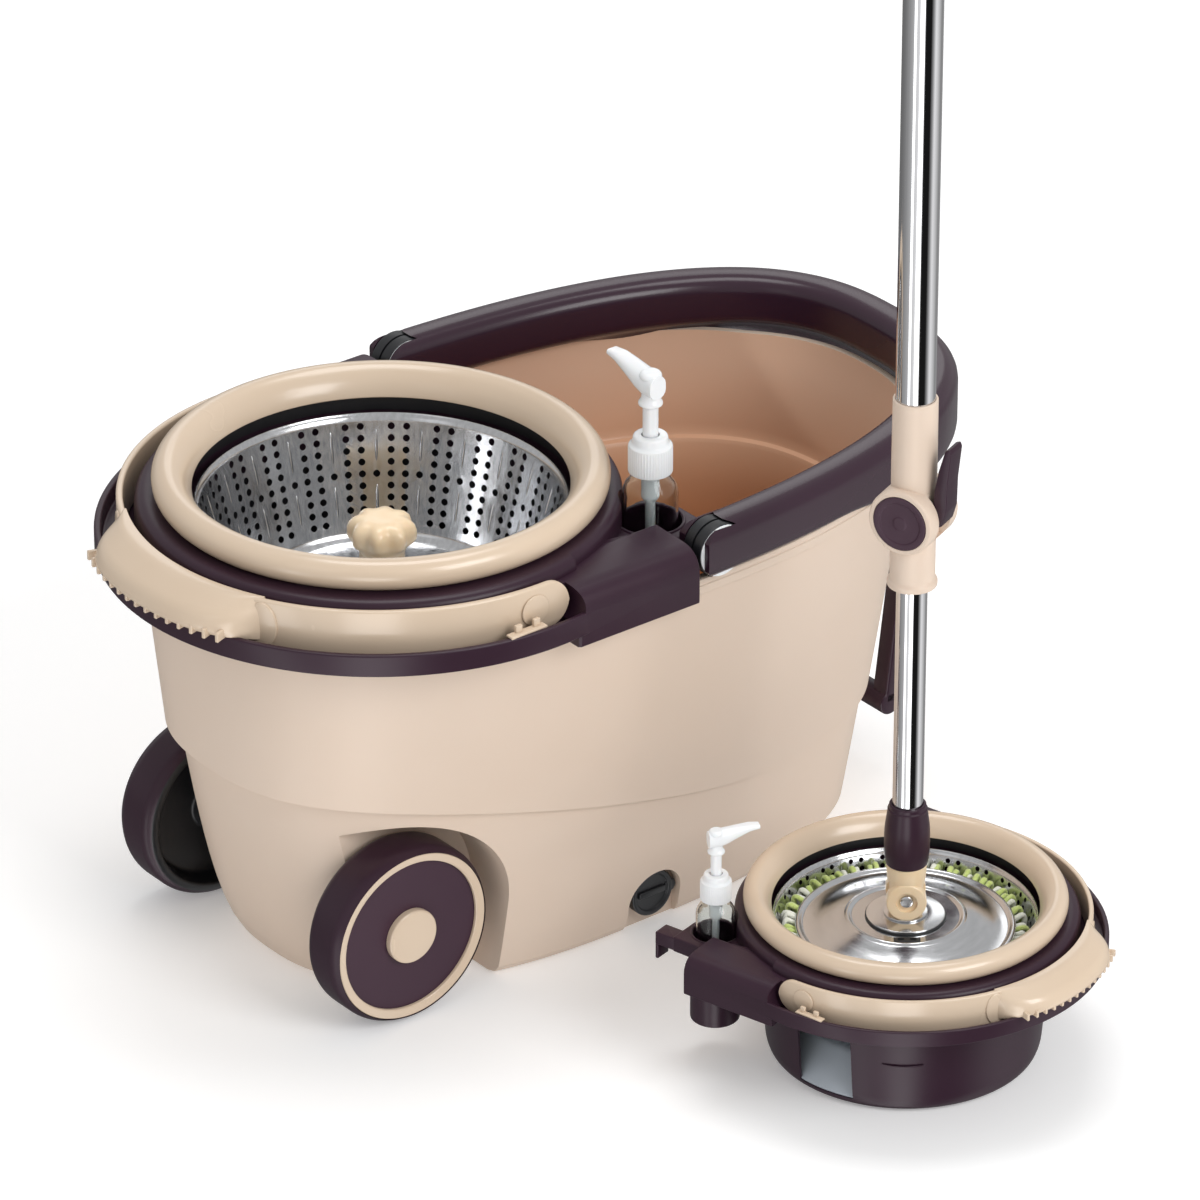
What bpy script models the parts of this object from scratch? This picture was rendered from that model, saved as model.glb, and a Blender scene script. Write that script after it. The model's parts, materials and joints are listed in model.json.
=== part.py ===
"""Spin mop set: wheeled bucket with a docked wringer, a free-standing wringer and the mop.

Metres, +Z up.  The origin is on the floor, under the spin axis of the docked wringer.
+X runs along the bucket towards the pouring end, -Y is the side with the drain and the soap bottle.
"""

from math import acos, cos, pi, radians, sin

import bmesh
import bpy
from mathutils import Matrix, Vector

GAP = 0.0003            # clearance between pieces that touch
RUN = 0.0003            # radial clearance of pins and shafts

# Bucket
RIM_TOP = 0.2450
RIM_LEFT, RIM_RIGHT, RIM_HALF = 0.1330, 0.3470, 0.1470
BASE_LEFT, BASE_RIGHT, BASE_HALF = 0.0760, 0.3150, 0.1080
WALL = 0.0028
FLOOR = 0.0040
WAIST = 0.1300          # height of the step in the outer wall at the wheel end
LEDGE = 0.1800          # height of the ledge inside
FLANGE_OUT, FLANGE_DEEP = 0.0035, 0.0105
SPOUT_HALF, SPOUT_REACH, SPOUT_LOW = 0.0700, 0.0090, 0.1850

# Wheels
WHEEL_X, WHEEL_R = -0.0603, 0.0546
WHEEL_IN, WHEEL_OUT = 0.0760, 0.1060
ARCH_R, ARCH_IN = 0.0665, 0.0735
AXLE_R, AXLE_DEEP = 0.0040, 0.0150
TRIM_EDGE, TRIM_WIDE, TRIM_THICK = 0.0033, 0.0053, 0.0030
TRIM_OUT, TRIM_IN = WHEEL_R - TRIM_EDGE, WHEEL_R - TRIM_EDGE - TRIM_WIDE
HUB_CAP_R, HUB_CAP_THICK = 0.0165, 0.0040

# Drain
DRAIN_X, DRAIN_Z, DRAIN_R = 0.1120, 0.0215, 0.0147
NOTCH_HALF, NOTCH_DEEP = 0.0190, 0.0120
DRAIN_BORE = 0.0080

# Carry handle
CARRY_X, CARRY_Z = 0.1235, 0.2620
CARRY_Y, CARRY_WIDE, CARRY_TALL = 0.1465, 0.0260, 0.0320
CARRY_RIGHT = 0.3690
DRUM_R, DRUM_WIDE, STUD_R = 0.0160, 0.0160, 0.0040

# Tow handle on the pouring end
TOW_Z, TOW_X, TOW_Y = 0.1900, 0.3560, 0.0450
TOW_DROP, TOW_THICK, TOW_WIDE, TOW_PIN_R = 0.1450, 0.0090, 0.0130, 0.0025

# Wringer, full size
TUB_BOTTOM, TUB_R, TUB_BASE_R, TUB_WALL = 0.1516, 0.1180, 0.1110, 0.0025
DECK_BOTTOM = RIM_TOP + GAP
LIP_R, LIP_TOP, LIP_IN = 0.1630, 0.2590, 0.1590
CHANNEL_FLOOR, CHANNEL_IN = 0.2485, 0.1400
DECK_TOP, DECK_IN = 0.2790, 0.1150
ARM_END, ARM_OUT, ARM_IN, ARM_TOP, ARM_LOW = 0.1030, 0.1610, 0.1280, 0.2720, 0.2380
ARM_START = 0.0340
RING_R, RING_TUBE, RING_Z, RING_IN, RING_LOW = 0.1209, 0.0091, 0.2876, 0.1070, 0.2800
BASKET_R, BASKET_BASE_R, BASKET_TOP, BASKET_FLOOR, BASKET_WALL = 0.1068, 0.0880, 0.2715, 0.1975, 0.0010
POST_TOP, POST_R, POST_NECK = 0.2595, 0.0185, 0.0130
SPINDLE_R, BEARING_R, BEARING_WIDE = 0.0040, 0.0110, 0.0070
WINDOW_WIDE, WINDOW_LOW, WINDOW_HIGH = 0.0510, 0.1600, 0.2160
BAIL_R, BAIL_THICK, BAIL_TALL, BAIL_PIVOT_X, BAIL_PIVOT_Z = 0.1480, 0.0040, 0.0290, 0.0035, 0.2648
GRIP_HALF, GRIP_OUT, GRIP_LOW = 27.0, 0.1730, 0.2605
BAIL_PIN_R = 0.0038
WELL_X, WELL_Y, WELL_R, WELL_TOP, WELL_WALL = 0.1145, 0.1005, 0.0183, 0.2620, 0.0018
TONGUE_X, HOOK_X, HOOK_OUT, HOOK_IN, HOOK_DROP = 0.1380, 0.1550, 0.1270, 0.1120, 0.0120

# Soap bottle and pump, full size
BOTTLE_R, BOTTLE_LOW, BOTTLE_TOP, BOTTLE_WALL = 0.0160, 0.1860, 0.2900, 0.0010
NECK_R, NECK_TOP = 0.0095, 0.3100
COLLAR_R, COLLAR_LOW, COLLAR_TOP = 0.01275, 0.2935, 0.3165
STEM_R, HEAD_LOW, HEAD_TOP, NOZZLE = 0.0045, 0.3360, 0.3560, 0.0350

# Free-standing wringer
FREE_SCALE, FREE_X, FREE_Y, FREE_TURN = 0.7030, 0.1426, -0.2965, 105.5

# Mop
PLATE_R, PLATE_RIM, PLATE_THICK, DISC_R, DISC_TOP = 0.0622, 0.0790, 0.0012, 0.0223, 0.0855
SEAT_GAP, SPIGOT_LOW = 0.0053463, 0.0812
PIN_Z, PIN_R, KNUCKLE_R, KNUCKLE_TOP, SLOT = 0.0972, 0.0028, 0.0113, 0.1180, 0.0085
KNUCKLE_TURN = -128.0
FERRULE_R, FERRULE_TOP = 0.0129, 0.1560
LOW_TUBE_R, LOW_TUBE_TOP, TUBE_WALL = 0.00865, 0.8000, 0.0008
TOP_TUBE_R, TOP_TUBE_TOP = 0.0111, 1.1500
CLAMP_LOW, CLAMP_Z, CLAMP_TOP = 0.2947, 0.3395, 0.4096
BARREL_R, BARREL_HALF, CLAMP_CAP_R, CLAMP_TURN = 0.0194, 0.0168, 0.0159, 23.0
SLEEVE_R, LEVER_PIN, LEVER_PIN_R, LEVER_HALF = 0.0125, 0.0158, 0.0016, 0.0070
ROD_WIDE, ROD_THICK, ROD_LOW, ROD_LEAD = 0.0060, 0.0022, 0.5000, 0.1000
GRIP_R, GRIP_LOW_END, GRIP_TOP_END = 0.0150, 1.0200, 1.1800

for old in list(bpy.data.objects):
    bpy.data.objects.remove(old)


# Tools

def material(name, colour, roughness, metallic=0.0):
    made = bpy.data.materials.new(name)
    made.use_nodes = True
    shader = made.node_tree.nodes["Principled BSDF"]
    shader.inputs["Base Color"].default_value = (*colour, 1.0)
    shader.inputs["Roughness"].default_value = roughness
    shader.inputs["Metallic"].default_value = metallic
    return made


BEIGE = material("beige_plastic", (0.74, 0.61, 0.48), 0.45)
TAN = material("tan_plastic", (0.68, 0.53, 0.38), 0.35)
PURPLE = material("purple_plastic", (0.070, 0.032, 0.055), 0.40)
BLACK = material("black_plastic", (0.012, 0.012, 0.014), 0.45)
WHITE = material("white_plastic", (0.88, 0.89, 0.91), 0.35)
AMBER = material("amber_plastic", (0.78, 0.52, 0.26), 0.40)
CLEAR = material("clear_plastic", (0.85, 0.88, 0.88), 0.10)
STEEL = material("polished_steel", (0.62, 0.62, 0.63), 0.18, 1.0)
CHROME = material("chromed_tube", (0.70, 0.70, 0.72), 0.08, 1.0)
STRAND = material("microfibre", (0.62, 0.74, 0.38), 0.95)


def turned(profile, segments=40, closed=True):
    """Body of revolution about Z.  An open profile starts and ends on the axis."""
    bm = bmesh.new()
    rings = []
    for r, z in profile:
        if r < 1e-6:
            rings.append([bm.verts.new((0, 0, z))])
        else:
            turns = [2 * pi * i / segments for i in range(segments)]
            rings.append([bm.verts.new((r * cos(t), r * sin(t), z)) for t in turns])
    pairs = list(zip(rings, rings[1:]))
    if closed:
        pairs.append((rings[-1], rings[0]))
    for a, b in pairs:
        for i in range(segments):
            j = (i + 1) % segments
            corners = [a[i % len(a)], a[j % len(a)], b[j % len(b)], b[i % len(b)]]
            face = list(dict.fromkeys(corners))
            if len(face) > 2:
                bm.faces.new(face)
    bmesh.ops.recalc_face_normals(bm, faces=bm.faces[:])
    return bm


def rod(radius, low, high, segments=12):
    return turned([(0, low), (radius, low), (radius, high), (0, high)], segments, closed=False)


def tube(outer, inner, low, high, segments=16):
    return turned([(outer, low), (outer, high), (inner, high), (inner, low)], segments)


def lofted(loops, ring=False):
    """Skin through closed loops with the same number of points, capped or joined end to end."""
    bm = bmesh.new()
    rows = [[bm.verts.new(p) for p in loop] for loop in loops]
    pairs = list(zip(rows, rows[1:]))
    if ring:
        pairs.append((rows[-1], rows[0]))
    for a, b in pairs:
        for i in range(len(a)):
            j = (i + 1) % len(a)
            bm.faces.new((a[i], a[j], b[j], b[i]))
    if not ring:
        bm.faces.new(rows[0])
        bm.faces.new(rows[-1])
    bmesh.ops.recalc_face_normals(bm, faces=bm.faces[:])
    return bm


def slab(outline, low, high):
    return lofted([[(x, y, z) for x, y in outline] for z in (low, high)])


def box(x0, x1, y0, y1, z0, z1):
    return slab([(x0, y0), (x1, y0), (x1, y1), (x0, y1)], z0, z1)


def moved(bm, matrix):
    bmesh.ops.transform(bm, matrix=matrix, verts=bm.verts)
    if matrix.to_3x3().determinant() < 0:
        bmesh.ops.reverse_faces(bm, faces=bm.faces[:])
    return bm


def along_y(bm, x=0.0, y=0.0, z=0.0):
    """Turn a piece made about Z so that its axis runs along -Y through (x, y, z)."""
    return moved(bm, Matrix.Translation((x, y, z)) @ Matrix.Rotation(pi / 2, 4, "X"))


def as_object(bm, name="scratch"):
    mesh = bpy.data.meshes.new(name)
    bm.to_mesh(mesh)
    bm.free()
    made = bpy.data.objects.new(name, mesh)
    bpy.context.scene.collection.objects.link(made)
    return made


def combined(bm, other, operation):
    """Exact Boolean of two closed bodies; the second one is used up."""
    base, tool = as_object(bm), as_object(other)
    step = base.modifiers.new("boolean", "BOOLEAN")
    step.object, step.operation, step.solver = tool, operation, "EXACT"
    graph = bpy.context.evaluated_depsgraph_get()
    result = bmesh.new()
    result.from_mesh(base.evaluated_get(graph).to_mesh())
    bmesh.ops.remove_doubles(result, verts=result.verts[:], dist=2e-6)
    bmesh.ops.dissolve_degenerate(result, edges=result.edges[:], dist=2e-6)
    for used in (base, tool):
        bpy.data.objects.remove(used)
    return result


def cut(bm, *tools):
    for tool in tools:
        bm = combined(bm, tool, "DIFFERENCE")
    return bm


def fused(bm, *others):
    for other in others:
        bm = combined(bm, other, "UNION")
    return bm


def piece(name, bm, finish, origin=(0, 0, 0), place=Matrix(), scale=(1, 1, 1)):
    """Finish a piece: scale it, put its origin on its joint's axis, and set its place."""
    moved(bm, Matrix.Diagonal((*scale, 1)) @ Matrix.Translation(-Vector(origin)))
    made = as_object(bm, name)
    made.name = name
    shift = Vector([a * b for a, b in zip(origin, scale)])
    made.matrix_world = place @ Matrix.Translation(shift)
    made.data.materials.append(finish)
    made.data.shade_smooth()
    made.data.set_sharp_from_angle(angle=radians(35))
    return made


def egg(left, right, half, z, middle=0.1000, blunt_left=2.5, blunt_right=2.6, points=36):
    """Egg-shaped loop: two superellipse halves that meet at x = middle."""
    loop = []
    for i in range(points):
        t = 2 * pi * i / points
        c, s = cos(t), sin(t)
        reach, power = (right - middle, blunt_right) if c > 0 else (left + middle, blunt_left)
        x = middle + reach * (1 if c > 0 else -1) * abs(c) ** (2 / power)
        y = half * (1 if s > 0 else -1) * abs(s) ** (2 / power)
        loop.append((x, y, z))
    return loop


def mix(a, b, t):
    return a + (b - a) * t


def arc(cx, cz, radius, start, end, steps):
    return [(cx + radius * cos(radians(mix(start, end, i / steps))),
             cz + radius * sin(radians(mix(start, end, i / steps)))) for i in range(steps + 1)]


# Bucket

def wall_sizes(z):
    """Left reach, right reach and half width of the outer wall at height z."""
    t = z / RIM_TOP
    right = mix(BASE_RIGHT, RIM_RIGHT, t)
    half = mix(BASE_HALF, RIM_HALF, t ** 0.9)
    if z > WAIST:
        left = mix(RIM_LEFT - 0.0090, RIM_LEFT, (z - WAIST) / (RIM_TOP - WAIST))
    else:
        left = BASE_LEFT + (RIM_LEFT - 0.0175 - BASE_LEFT) * (z / WAIST) ** 0.42
    return left, right, half


def wall_loop(z, inset=0.0, height=None):
    """Loop of the wall at height z, bulged at the pouring end towards the rim."""
    left, right, half = wall_sizes(z)
    loop = egg(left - inset, right - inset, half - inset, z if height is None else height)
    bulge = SPOUT_REACH * max(0.0, (z - SPOUT_LOW) / (RIM_TOP - SPOUT_LOW)) ** 1.5
    spout = []
    for x, y, level in loop:
        if x > 0.2 and abs(y) < SPOUT_HALF:
            x += bulge * (0.5 + 0.5 * cos(pi * y / SPOUT_HALF))
        spout.append((x, y, level))
    return spout


def doorway(x, z, radius, y0, y1, steps=28):
    """Arch-topped tool through the wall: a half circle at height z over a straight part."""
    outline = [(x - radius, -0.01), (x + radius, -0.01)] + arc(x, z, radius, 0, 180, steps // 2)
    return lofted([[(px, y, pz) for px, pz in outline] for y in (y0, y1)])


def bucket_shell():
    heights = [0.006, 0.030, 0.070, 0.105, WAIST - 0.008, WAIST + 0.006, LEDGE, RIM_TOP - FLANGE_DEEP]
    outer = [wall_loop(0.0, 0.006, 0.0)] + [wall_loop(z) for z in heights]
    flange = [wall_loop(z, -FLANGE_OUT) for z in (RIM_TOP - FLANGE_DEEP, RIM_TOP - 0.0015)]
    body = lofted(outer + flange + [wall_loop(RIM_TOP, -FLANGE_OUT + 0.0015)])

    step = 0.0040
    inner_heights = [(FLOOR, WALL + 0.007), (FLOOR + 0.007, WALL + step), (0.070, WALL + step),
                     (WAIST - 0.008, WALL + step), (LEDGE - 0.004, WALL + step), (LEDGE, WALL)]
    inner = [wall_loop(z, inset) for z, inset in inner_heights]
    inner.append(wall_loop(RIM_TOP, WALL, RIM_TOP + 0.002))
    hollow = lofted(inner)
    housings = []
    for side in (-1, 1):
        housings.append(doorway(WHEEL_X, WHEEL_R, ARCH_R + WALL, side * (ARCH_IN - WALL), side * 0.2))
        boss = rod(AXLE_R * 2.4, *sorted((-side * 0.052, -side * 0.2)))
        housings.append(along_y(boss, WHEEL_X, 0, WHEEL_R))
    notch_y = wall_sizes(DRAIN_Z)[2] - NOTCH_DEEP
    housings.append(doorway(DRAIN_X, NOTCH_HALF, NOTCH_HALF + WALL, -notch_y + WALL, -0.2, 20))
    hollow = cut(hollow, *housings)

    lugs = []
    for side in (-1, 1):
        lug_y = side * (TOW_Y - TOW_WIDE / 2 - GAP - 0.0035)
        lug = box(RIM_RIGHT - 0.025, TOW_X + 0.005, lug_y - 0.0035, lug_y + 0.0035, TOW_Z - 0.006, TOW_Z + 0.006)
        lugs.append(lug)
    body = fused(body, *lugs)
    body = cut(body, hollow)
    for side in (-1, 1):
        bore = rod(AXLE_R + RUN, *sorted((-side * (ARCH_IN - AXLE_DEEP), -side * 0.1)))
        body = cut(body, doorway(WHEEL_X, WHEEL_R, ARCH_R, side * ARCH_IN, side * 0.2),
                   along_y(bore, WHEEL_X, 0, WHEEL_R))
    body = cut(body, doorway(DRAIN_X, NOTCH_HALF, NOTCH_HALF, -notch_y, -0.2, 20),
               along_y(rod(DRAIN_BORE, notch_y - 0.02, 0.2), DRAIN_X, 0, DRAIN_Z))
    pin_hole = along_y(rod(TOW_PIN_R + RUN, -0.1, 0.1, 12), TOW_X, 0, TOW_Z)
    return cut(body, pin_hole)


def wheel():
    """Wheel about Z, its outer face at +Z; the face is recessed between rim and hub."""
    inner, outer = WHEEL_IN, WHEEL_OUT
    dish = outer - 0.0035
    profile = [(AXLE_R + RUN, inner), (WHEEL_R - 0.004, inner), (WHEEL_R, inner + 0.004),
               (WHEEL_R, outer - 0.004), (WHEEL_R - 0.0028, outer), (TRIM_OUT + GAP, outer),
               (TRIM_OUT + GAP, dish), (AXLE_R + RUN, dish)]
    return turned(profile, 28)


def wheel_set(side, word):
    place = Matrix.Translation((WHEEL_X, 0, WHEEL_R)) @ Matrix.Rotation(-side * pi / 2, 4, "X")
    piece("wheel_" + word, wheel(), PURPLE, place=place)
    dish = WHEEL_OUT - 0.0035 + GAP
    trim = tube(TRIM_OUT, TRIM_IN, dish, dish + TRIM_THICK, 28)
    piece("wheel_trim_" + word, trim, TAN, place=place)
    cap = turned([(0, dish), (HUB_CAP_R, dish), (HUB_CAP_R, dish + HUB_CAP_THICK - 0.0015),
                  (HUB_CAP_R - 0.0015, dish + HUB_CAP_THICK), (0, dish + HUB_CAP_THICK)], 24, closed=False)
    piece("hub_cap_" + word, cap, TAN, place=place)
    pin = rod(AXLE_R, ARCH_IN - AXLE_DEEP + GAP, WHEEL_OUT - 0.0035 - GAP)
    piece("axle_" + word, pin, STEEL, place=place)


def drain_cap():
    notch_y = wall_sizes(DRAIN_Z)[2] - NOTCH_DEEP
    disc = rod(DRAIN_R, notch_y + GAP, notch_y + 0.0070, 24)
    plug = rod(DRAIN_BORE - RUN, notch_y - WALL, notch_y + 0.002)
    ear = moved(rod(0.0042, notch_y + GAP, notch_y + 0.0060, 12), Matrix.Translation((DRAIN_R - 0.0012, 0, 0)))
    body = fused(disc, plug, ear)
    place = Matrix.Translation((DRAIN_X, 0, DRAIN_Z)) @ Matrix.Rotation(pi / 2, 4, "X")
    piece("drain_cap", body, BLACK, place=place)


def carry_path():
    """Centre line of the carry handle from the near pivot round the pouring end."""
    left = CARRY_X - 0.0135
    count, middle, power = 18, 0.0600, 2.6
    reach = CARRY_RIGHT - middle
    widest = acos(((left - middle) / reach) ** (power / 2))
    points = []
    for i in range(count + 1):
        t = mix(-widest, widest, i / count)
        x = middle + reach * cos(t) ** (2 / power)
        y = CARRY_Y * (1 if t > 0 else -1) * abs(sin(t)) ** (2 / power)
        points.append(Vector((x, y)))
    return points


def swept(path, section):
    """Carry a cross section (offset, z) along a flat path, with flat ends."""
    loops = []
    for i, p in enumerate(path):
        a, b = path[max(i - 1, 0)], path[min(i + 1, len(path) - 1)]
        run = (b - a).normalized()
        side = Vector((run.y, -run.x))
        loops.append([(p.x + side.x * o, p.y + side.y * o, z) for o, z in section])
    return lofted(loops)


def rounded(wide, tall, corner, steps=2):
    """Outline of a rounded rectangle about the origin."""
    points = []
    for k, (sx, sy) in enumerate(((1, 1), (-1, 1), (-1, -1), (1, -1))):
        for i in range(steps + 1):
            t = pi / 2 * (k + i / steps)
            points.append((sx * (wide / 2 - corner) + corner * cos(t), sy * (tall / 2 - corner) + corner * sin(t)))
    return points


def carry_handle():
    section = [(o, CARRY_Z + 0.0005 + z) for o, z in rounded(CARRY_WIDE, CARRY_TALL, 0.0095)]
    body = swept(carry_path(), section)
    for side in (-1, 1):
        y = side * CARRY_Y
        room = DRUM_WIDE / 2 + GAP
        body = cut(body, along_y(rod(DRUM_R + 0.0010, -y - room, -y + room, 24), CARRY_X, 0, CARRY_Z),
                   box(0, CARRY_X, y - room, y + room, CARRY_Z - 0.03, CARRY_Z + 0.03))
        end = box(CARRY_X - 0.03, CARRY_X, y - 0.014, y + 0.014, CARRY_Z - 0.03, CARRY_Z + 0.03)
        keep = along_y(rod(CARRY_TALL / 2 - 0.0002, -y - 0.015, -y + 0.015, 24), CARRY_X, 0, CARRY_Z)
        body = cut(body, cut(end, keep), along_y(rod(STUD_R + RUN, -y - 0.012, -y + 0.012), CARRY_X, 0, CARRY_Z))
    piece("carry_handle", body, PURPLE, origin=(CARRY_X, 0, CARRY_Z))
    for side, word in ((-1, "near"), (1, "far")):
        y = side * CARRY_Y
        drum = along_y(rod(DRUM_R, -y - DRUM_WIDE / 2, -y + DRUM_WIDE / 2, 24), CARRY_X, 0, CARRY_Z)
        foot = box(CARRY_X - 0.0060, CARRY_X + 0.0060, y - 0.0050, y + 0.0050, RIM_TOP + GAP, CARRY_Z)
        stud = along_y(rod(STUD_R, -y - 0.0112, -y + 0.0112), CARRY_X, 0, CARRY_Z)
        piece("carry_drum_" + word, fused(drum, foot, stud), BLACK, origin=(CARRY_X, y, CARRY_Z))


def tow_handle():
    """U-shaped handle hanging along the sloping pouring end, swung on one cross pin."""
    lean = (RIM_RIGHT - BASE_RIGHT) / RIM_TOP
    parts = []
    for side in (-1, 1):
        y0, y1 = side * TOW_Y - TOW_WIDE / 2, side * TOW_Y + TOW_WIDE / 2
        leg = [(-TOW_THICK / 2, 0.006), (TOW_THICK / 2, 0.006), (TOW_THICK / 2 - lean * TOW_DROP, -TOW_DROP),
               (-TOW_THICK / 2 - lean * TOW_DROP, -TOW_DROP)]
        parts.append(lofted([[(TOW_X + x, y, TOW_Z + z) for x, z in leg] for y in (y0, y1)]))
    bar = along_y(rod(0.0075, -TOW_Y - TOW_WIDE / 2, TOW_Y + TOW_WIDE / 2, 16),
                  TOW_X - lean * TOW_DROP, 0, TOW_Z - TOW_DROP)
    body = fused(bar, *parts)
    body = cut(body, along_y(rod(TOW_PIN_R + RUN, -0.1, 0.1, 12), TOW_X, 0, TOW_Z))
    piece("tow_handle", body, PURPLE, origin=(TOW_X, 0, TOW_Z))
    reach = TOW_Y + TOW_WIDE / 2 - 0.001
    piece("tow_pin", along_y(rod(TOW_PIN_R, -reach, reach, 12), TOW_X, 0, TOW_Z), STEEL)


# Wringer, built full size about its spin axis

def deck(segments):
    profile = [(DECK_IN, DECK_BOTTOM), (LIP_R, DECK_BOTTOM), (LIP_R, LIP_TOP - 0.0015),
               (LIP_R - 0.0015, LIP_TOP), (LIP_IN, LIP_TOP - 0.001), (LIP_IN, CHANNEL_FLOOR),
               (CHANNEL_IN, CHANNEL_FLOOR), (CHANNEL_IN, DECK_TOP - 0.006), (CHANNEL_IN - 0.006, DECK_TOP),
               (DECK_IN, DECK_TOP)]
    body = turned(profile, segments)
    hub = turned([(DECK_IN, DECK_BOTTOM), (CHANNEL_IN - 0.003, DECK_BOTTOM), (CHANNEL_IN - 0.003, DECK_TOP - 0.004),
                  (CHANNEL_IN - 0.007, DECK_TOP), (DECK_IN, DECK_TOP)], segments)
    body = cut(body, box(ARM_START, 0.2, -0.2, 0.2, 0.2, 0.3))
    body = fused(body, hub)
    for side in (-1, 1):
        outline = [(ARM_START - 0.0005, side * ARM_OUT * 0.985), (ARM_END, side * ARM_OUT),
                   (ARM_END, side * ARM_IN), (0.0600, side * 0.1150), (ARM_START - 0.0005, side * ARM_IN)]
        arm = slab(outline, DECK_BOTTOM, ARM_TOP)
        skirt = [(ARM_START + 0.001, side * ARM_OUT * 0.984), (ARM_END, side * ARM_OUT),
                 (ARM_END, side * (RIM_HALF + FLANGE_OUT + 0.0020)),
                 (ARM_START + 0.001, side * (RIM_HALF + FLANGE_OUT + 0.0020))]
        arm = fused(arm, slab(skirt, ARM_LOW, DECK_BOTTOM + 0.004))
        slope = [(side * (ARM_OUT + 0.001), ARM_TOP - 0.009), (side * (ARM_OUT + 0.001), ARM_TOP + 0.001),
                 (side * (ARM_OUT - 0.014), ARM_TOP + 0.001)]
        arm = cut(arm, lofted([[(x, y, z) for y, z in slope] for x in (0.0, 0.15)]))
        body = fused(body, arm)

    near = -1
    tongue = slab([(0.0700, near * 0.1290), (TONGUE_X, near * 0.1270), (TONGUE_X, near * 0.0980),
                   (0.1290, near * 0.0780), (0.1080, near * 0.0780), (0.0700, near * 0.1180)],
                  CHANNEL_FLOOR, WELL_TOP)
    hook = box(TONGUE_X - 0.002, HOOK_X, -HOOK_OUT, -HOOK_IN, CHANNEL_FLOOR + 0.001, WELL_TOP - 0.001)
    bill = box(HOOK_X - 0.003, HOOK_X, -HOOK_OUT, -HOOK_IN, CHANNEL_FLOOR - HOOK_DROP, WELL_TOP - 0.002)
    well = rod(WELL_R + WELL_WALL, BOTTLE_LOW - GAP - WELL_WALL, CHANNEL_FLOOR + 0.002, 20)
    body = fused(body, tongue, hook, bill, moved(well, Matrix.Translation((WELL_X, -WELL_Y, 0))))
    body = cut(body, moved(rod(WELL_R, BOTTLE_LOW - GAP, 0.3, 20), Matrix.Translation((WELL_X, -WELL_Y, 0))))
    for side in (-1, 1):
        low, high = sorted((-side * (CHANNEL_IN - 0.0065), -side * 0.15))
        body = cut(body, along_y(rod(BAIL_PIN_R + RUN, low, high, 12), BAIL_PIVOT_X, 0, BAIL_PIVOT_Z))
    return body


def tub(segments):
    top = DECK_BOTTOM - GAP
    corner = 0.0110
    outer = [(0, TUB_BOTTOM), (TUB_BASE_R - corner, TUB_BOTTOM)]
    outer += arc(TUB_BASE_R - corner, TUB_BOTTOM + corner, corner, -45, 0, 1) + [(TUB_R, top)]
    inner = [(TUB_R - TUB_WALL, top), (TUB_BASE_R - TUB_WALL, TUB_BOTTOM + corner),
             (TUB_BASE_R - corner, TUB_BOTTOM + TUB_WALL)]
    boss_top = TUB_BOTTOM + TUB_WALL + BEARING_WIDE
    boss = [(BEARING_R + 0.0030, TUB_BOTTOM + TUB_WALL), (BEARING_R + 0.0030, boss_top),
            (BEARING_R + RUN, boss_top), (BEARING_R + RUN, TUB_BOTTOM + TUB_WALL), (0, TUB_BOTTOM + TUB_WALL)]
    body = turned(outer + inner + boss, segments, closed=False)
    window = box(-WINDOW_WIDE / 2, WINDOW_WIDE / 2, -0.14, -0.09, WINDOW_LOW, WINDOW_HIGH)
    return cut(body, window)


def splash_ring(segments):
    crest = arc(RING_R, RING_Z, RING_TUBE, -62, 105, 4)
    inner = [(0.1115, RING_Z + 0.0035), (RING_IN + 0.0008, RING_LOW + 0.0045), (RING_IN, RING_LOW + 0.0008),
             (RING_IN + 0.0022, RING_LOW - 0.0005)]
    return turned(crest + inner, segments)


def basket(segments):
    t, corner = BASKET_WALL, 0.0120
    hole = SPINDLE_R + RUN
    outer = [(hole, BASKET_FLOOR), (BASKET_BASE_R - corner, BASKET_FLOOR)]
    outer += arc(BASKET_BASE_R - corner, BASKET_FLOOR + corner, corner, -45, 0, 1)
    outer += [(BASKET_R - 0.0025, BASKET_TOP - 0.0030), (BASKET_R, BASKET_TOP - 0.0020), (BASKET_R, BASKET_TOP)]
    inner = [(BASKET_R - 0.0025 - t, BASKET_TOP), (BASKET_BASE_R - t, BASKET_FLOOR + corner),
             (BASKET_BASE_R - corner, BASKET_FLOOR + t), (hole, BASKET_FLOOR + t)]
    return turned(outer + inner, segments)


def hub_post():
    """Moulded post with a lobed knob that carries the mop plate."""
    seat = BASKET_FLOOR + BASKET_WALL + GAP
    top = POST_TOP - 0.0150
    levels = [(0.0220, seat), (0.0200, seat + 0.005), (POST_NECK, seat + 0.012), (POST_NECK, top - 0.004),
              (POST_R - 0.001, top), (POST_R, top + 0.006), (POST_R - 0.003, POST_TOP - 0.002), (0.009, POST_TOP)]
    loops = []
    for level, (radius, z) in enumerate(levels):
        wave = 0.045 if level > 3 else 0.0
        loops.append([(radius * (1 + wave * cos(7 * t)) * cos(t), radius * (1 + wave * cos(7 * t)) * sin(t), z)
                      for t in [2 * pi * i / 21 for i in range(21)]])
    body = lofted(loops)
    return cut(body, rod(SPINDLE_R + RUN, seat - 0.01, seat + 0.0203))


def bail_line(radius, steps):
    """Plan line of the bail: near arm, half circle on the -X side, far arm."""
    arms = [Vector((BAIL_PIVOT_X, -radius))]
    bend = [Vector((-radius * sin(pi * i / steps), -radius * cos(pi * i / steps))) for i in range(steps + 1)]
    return arms + bend + [Vector((BAIL_PIVOT_X, radius))]


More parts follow.
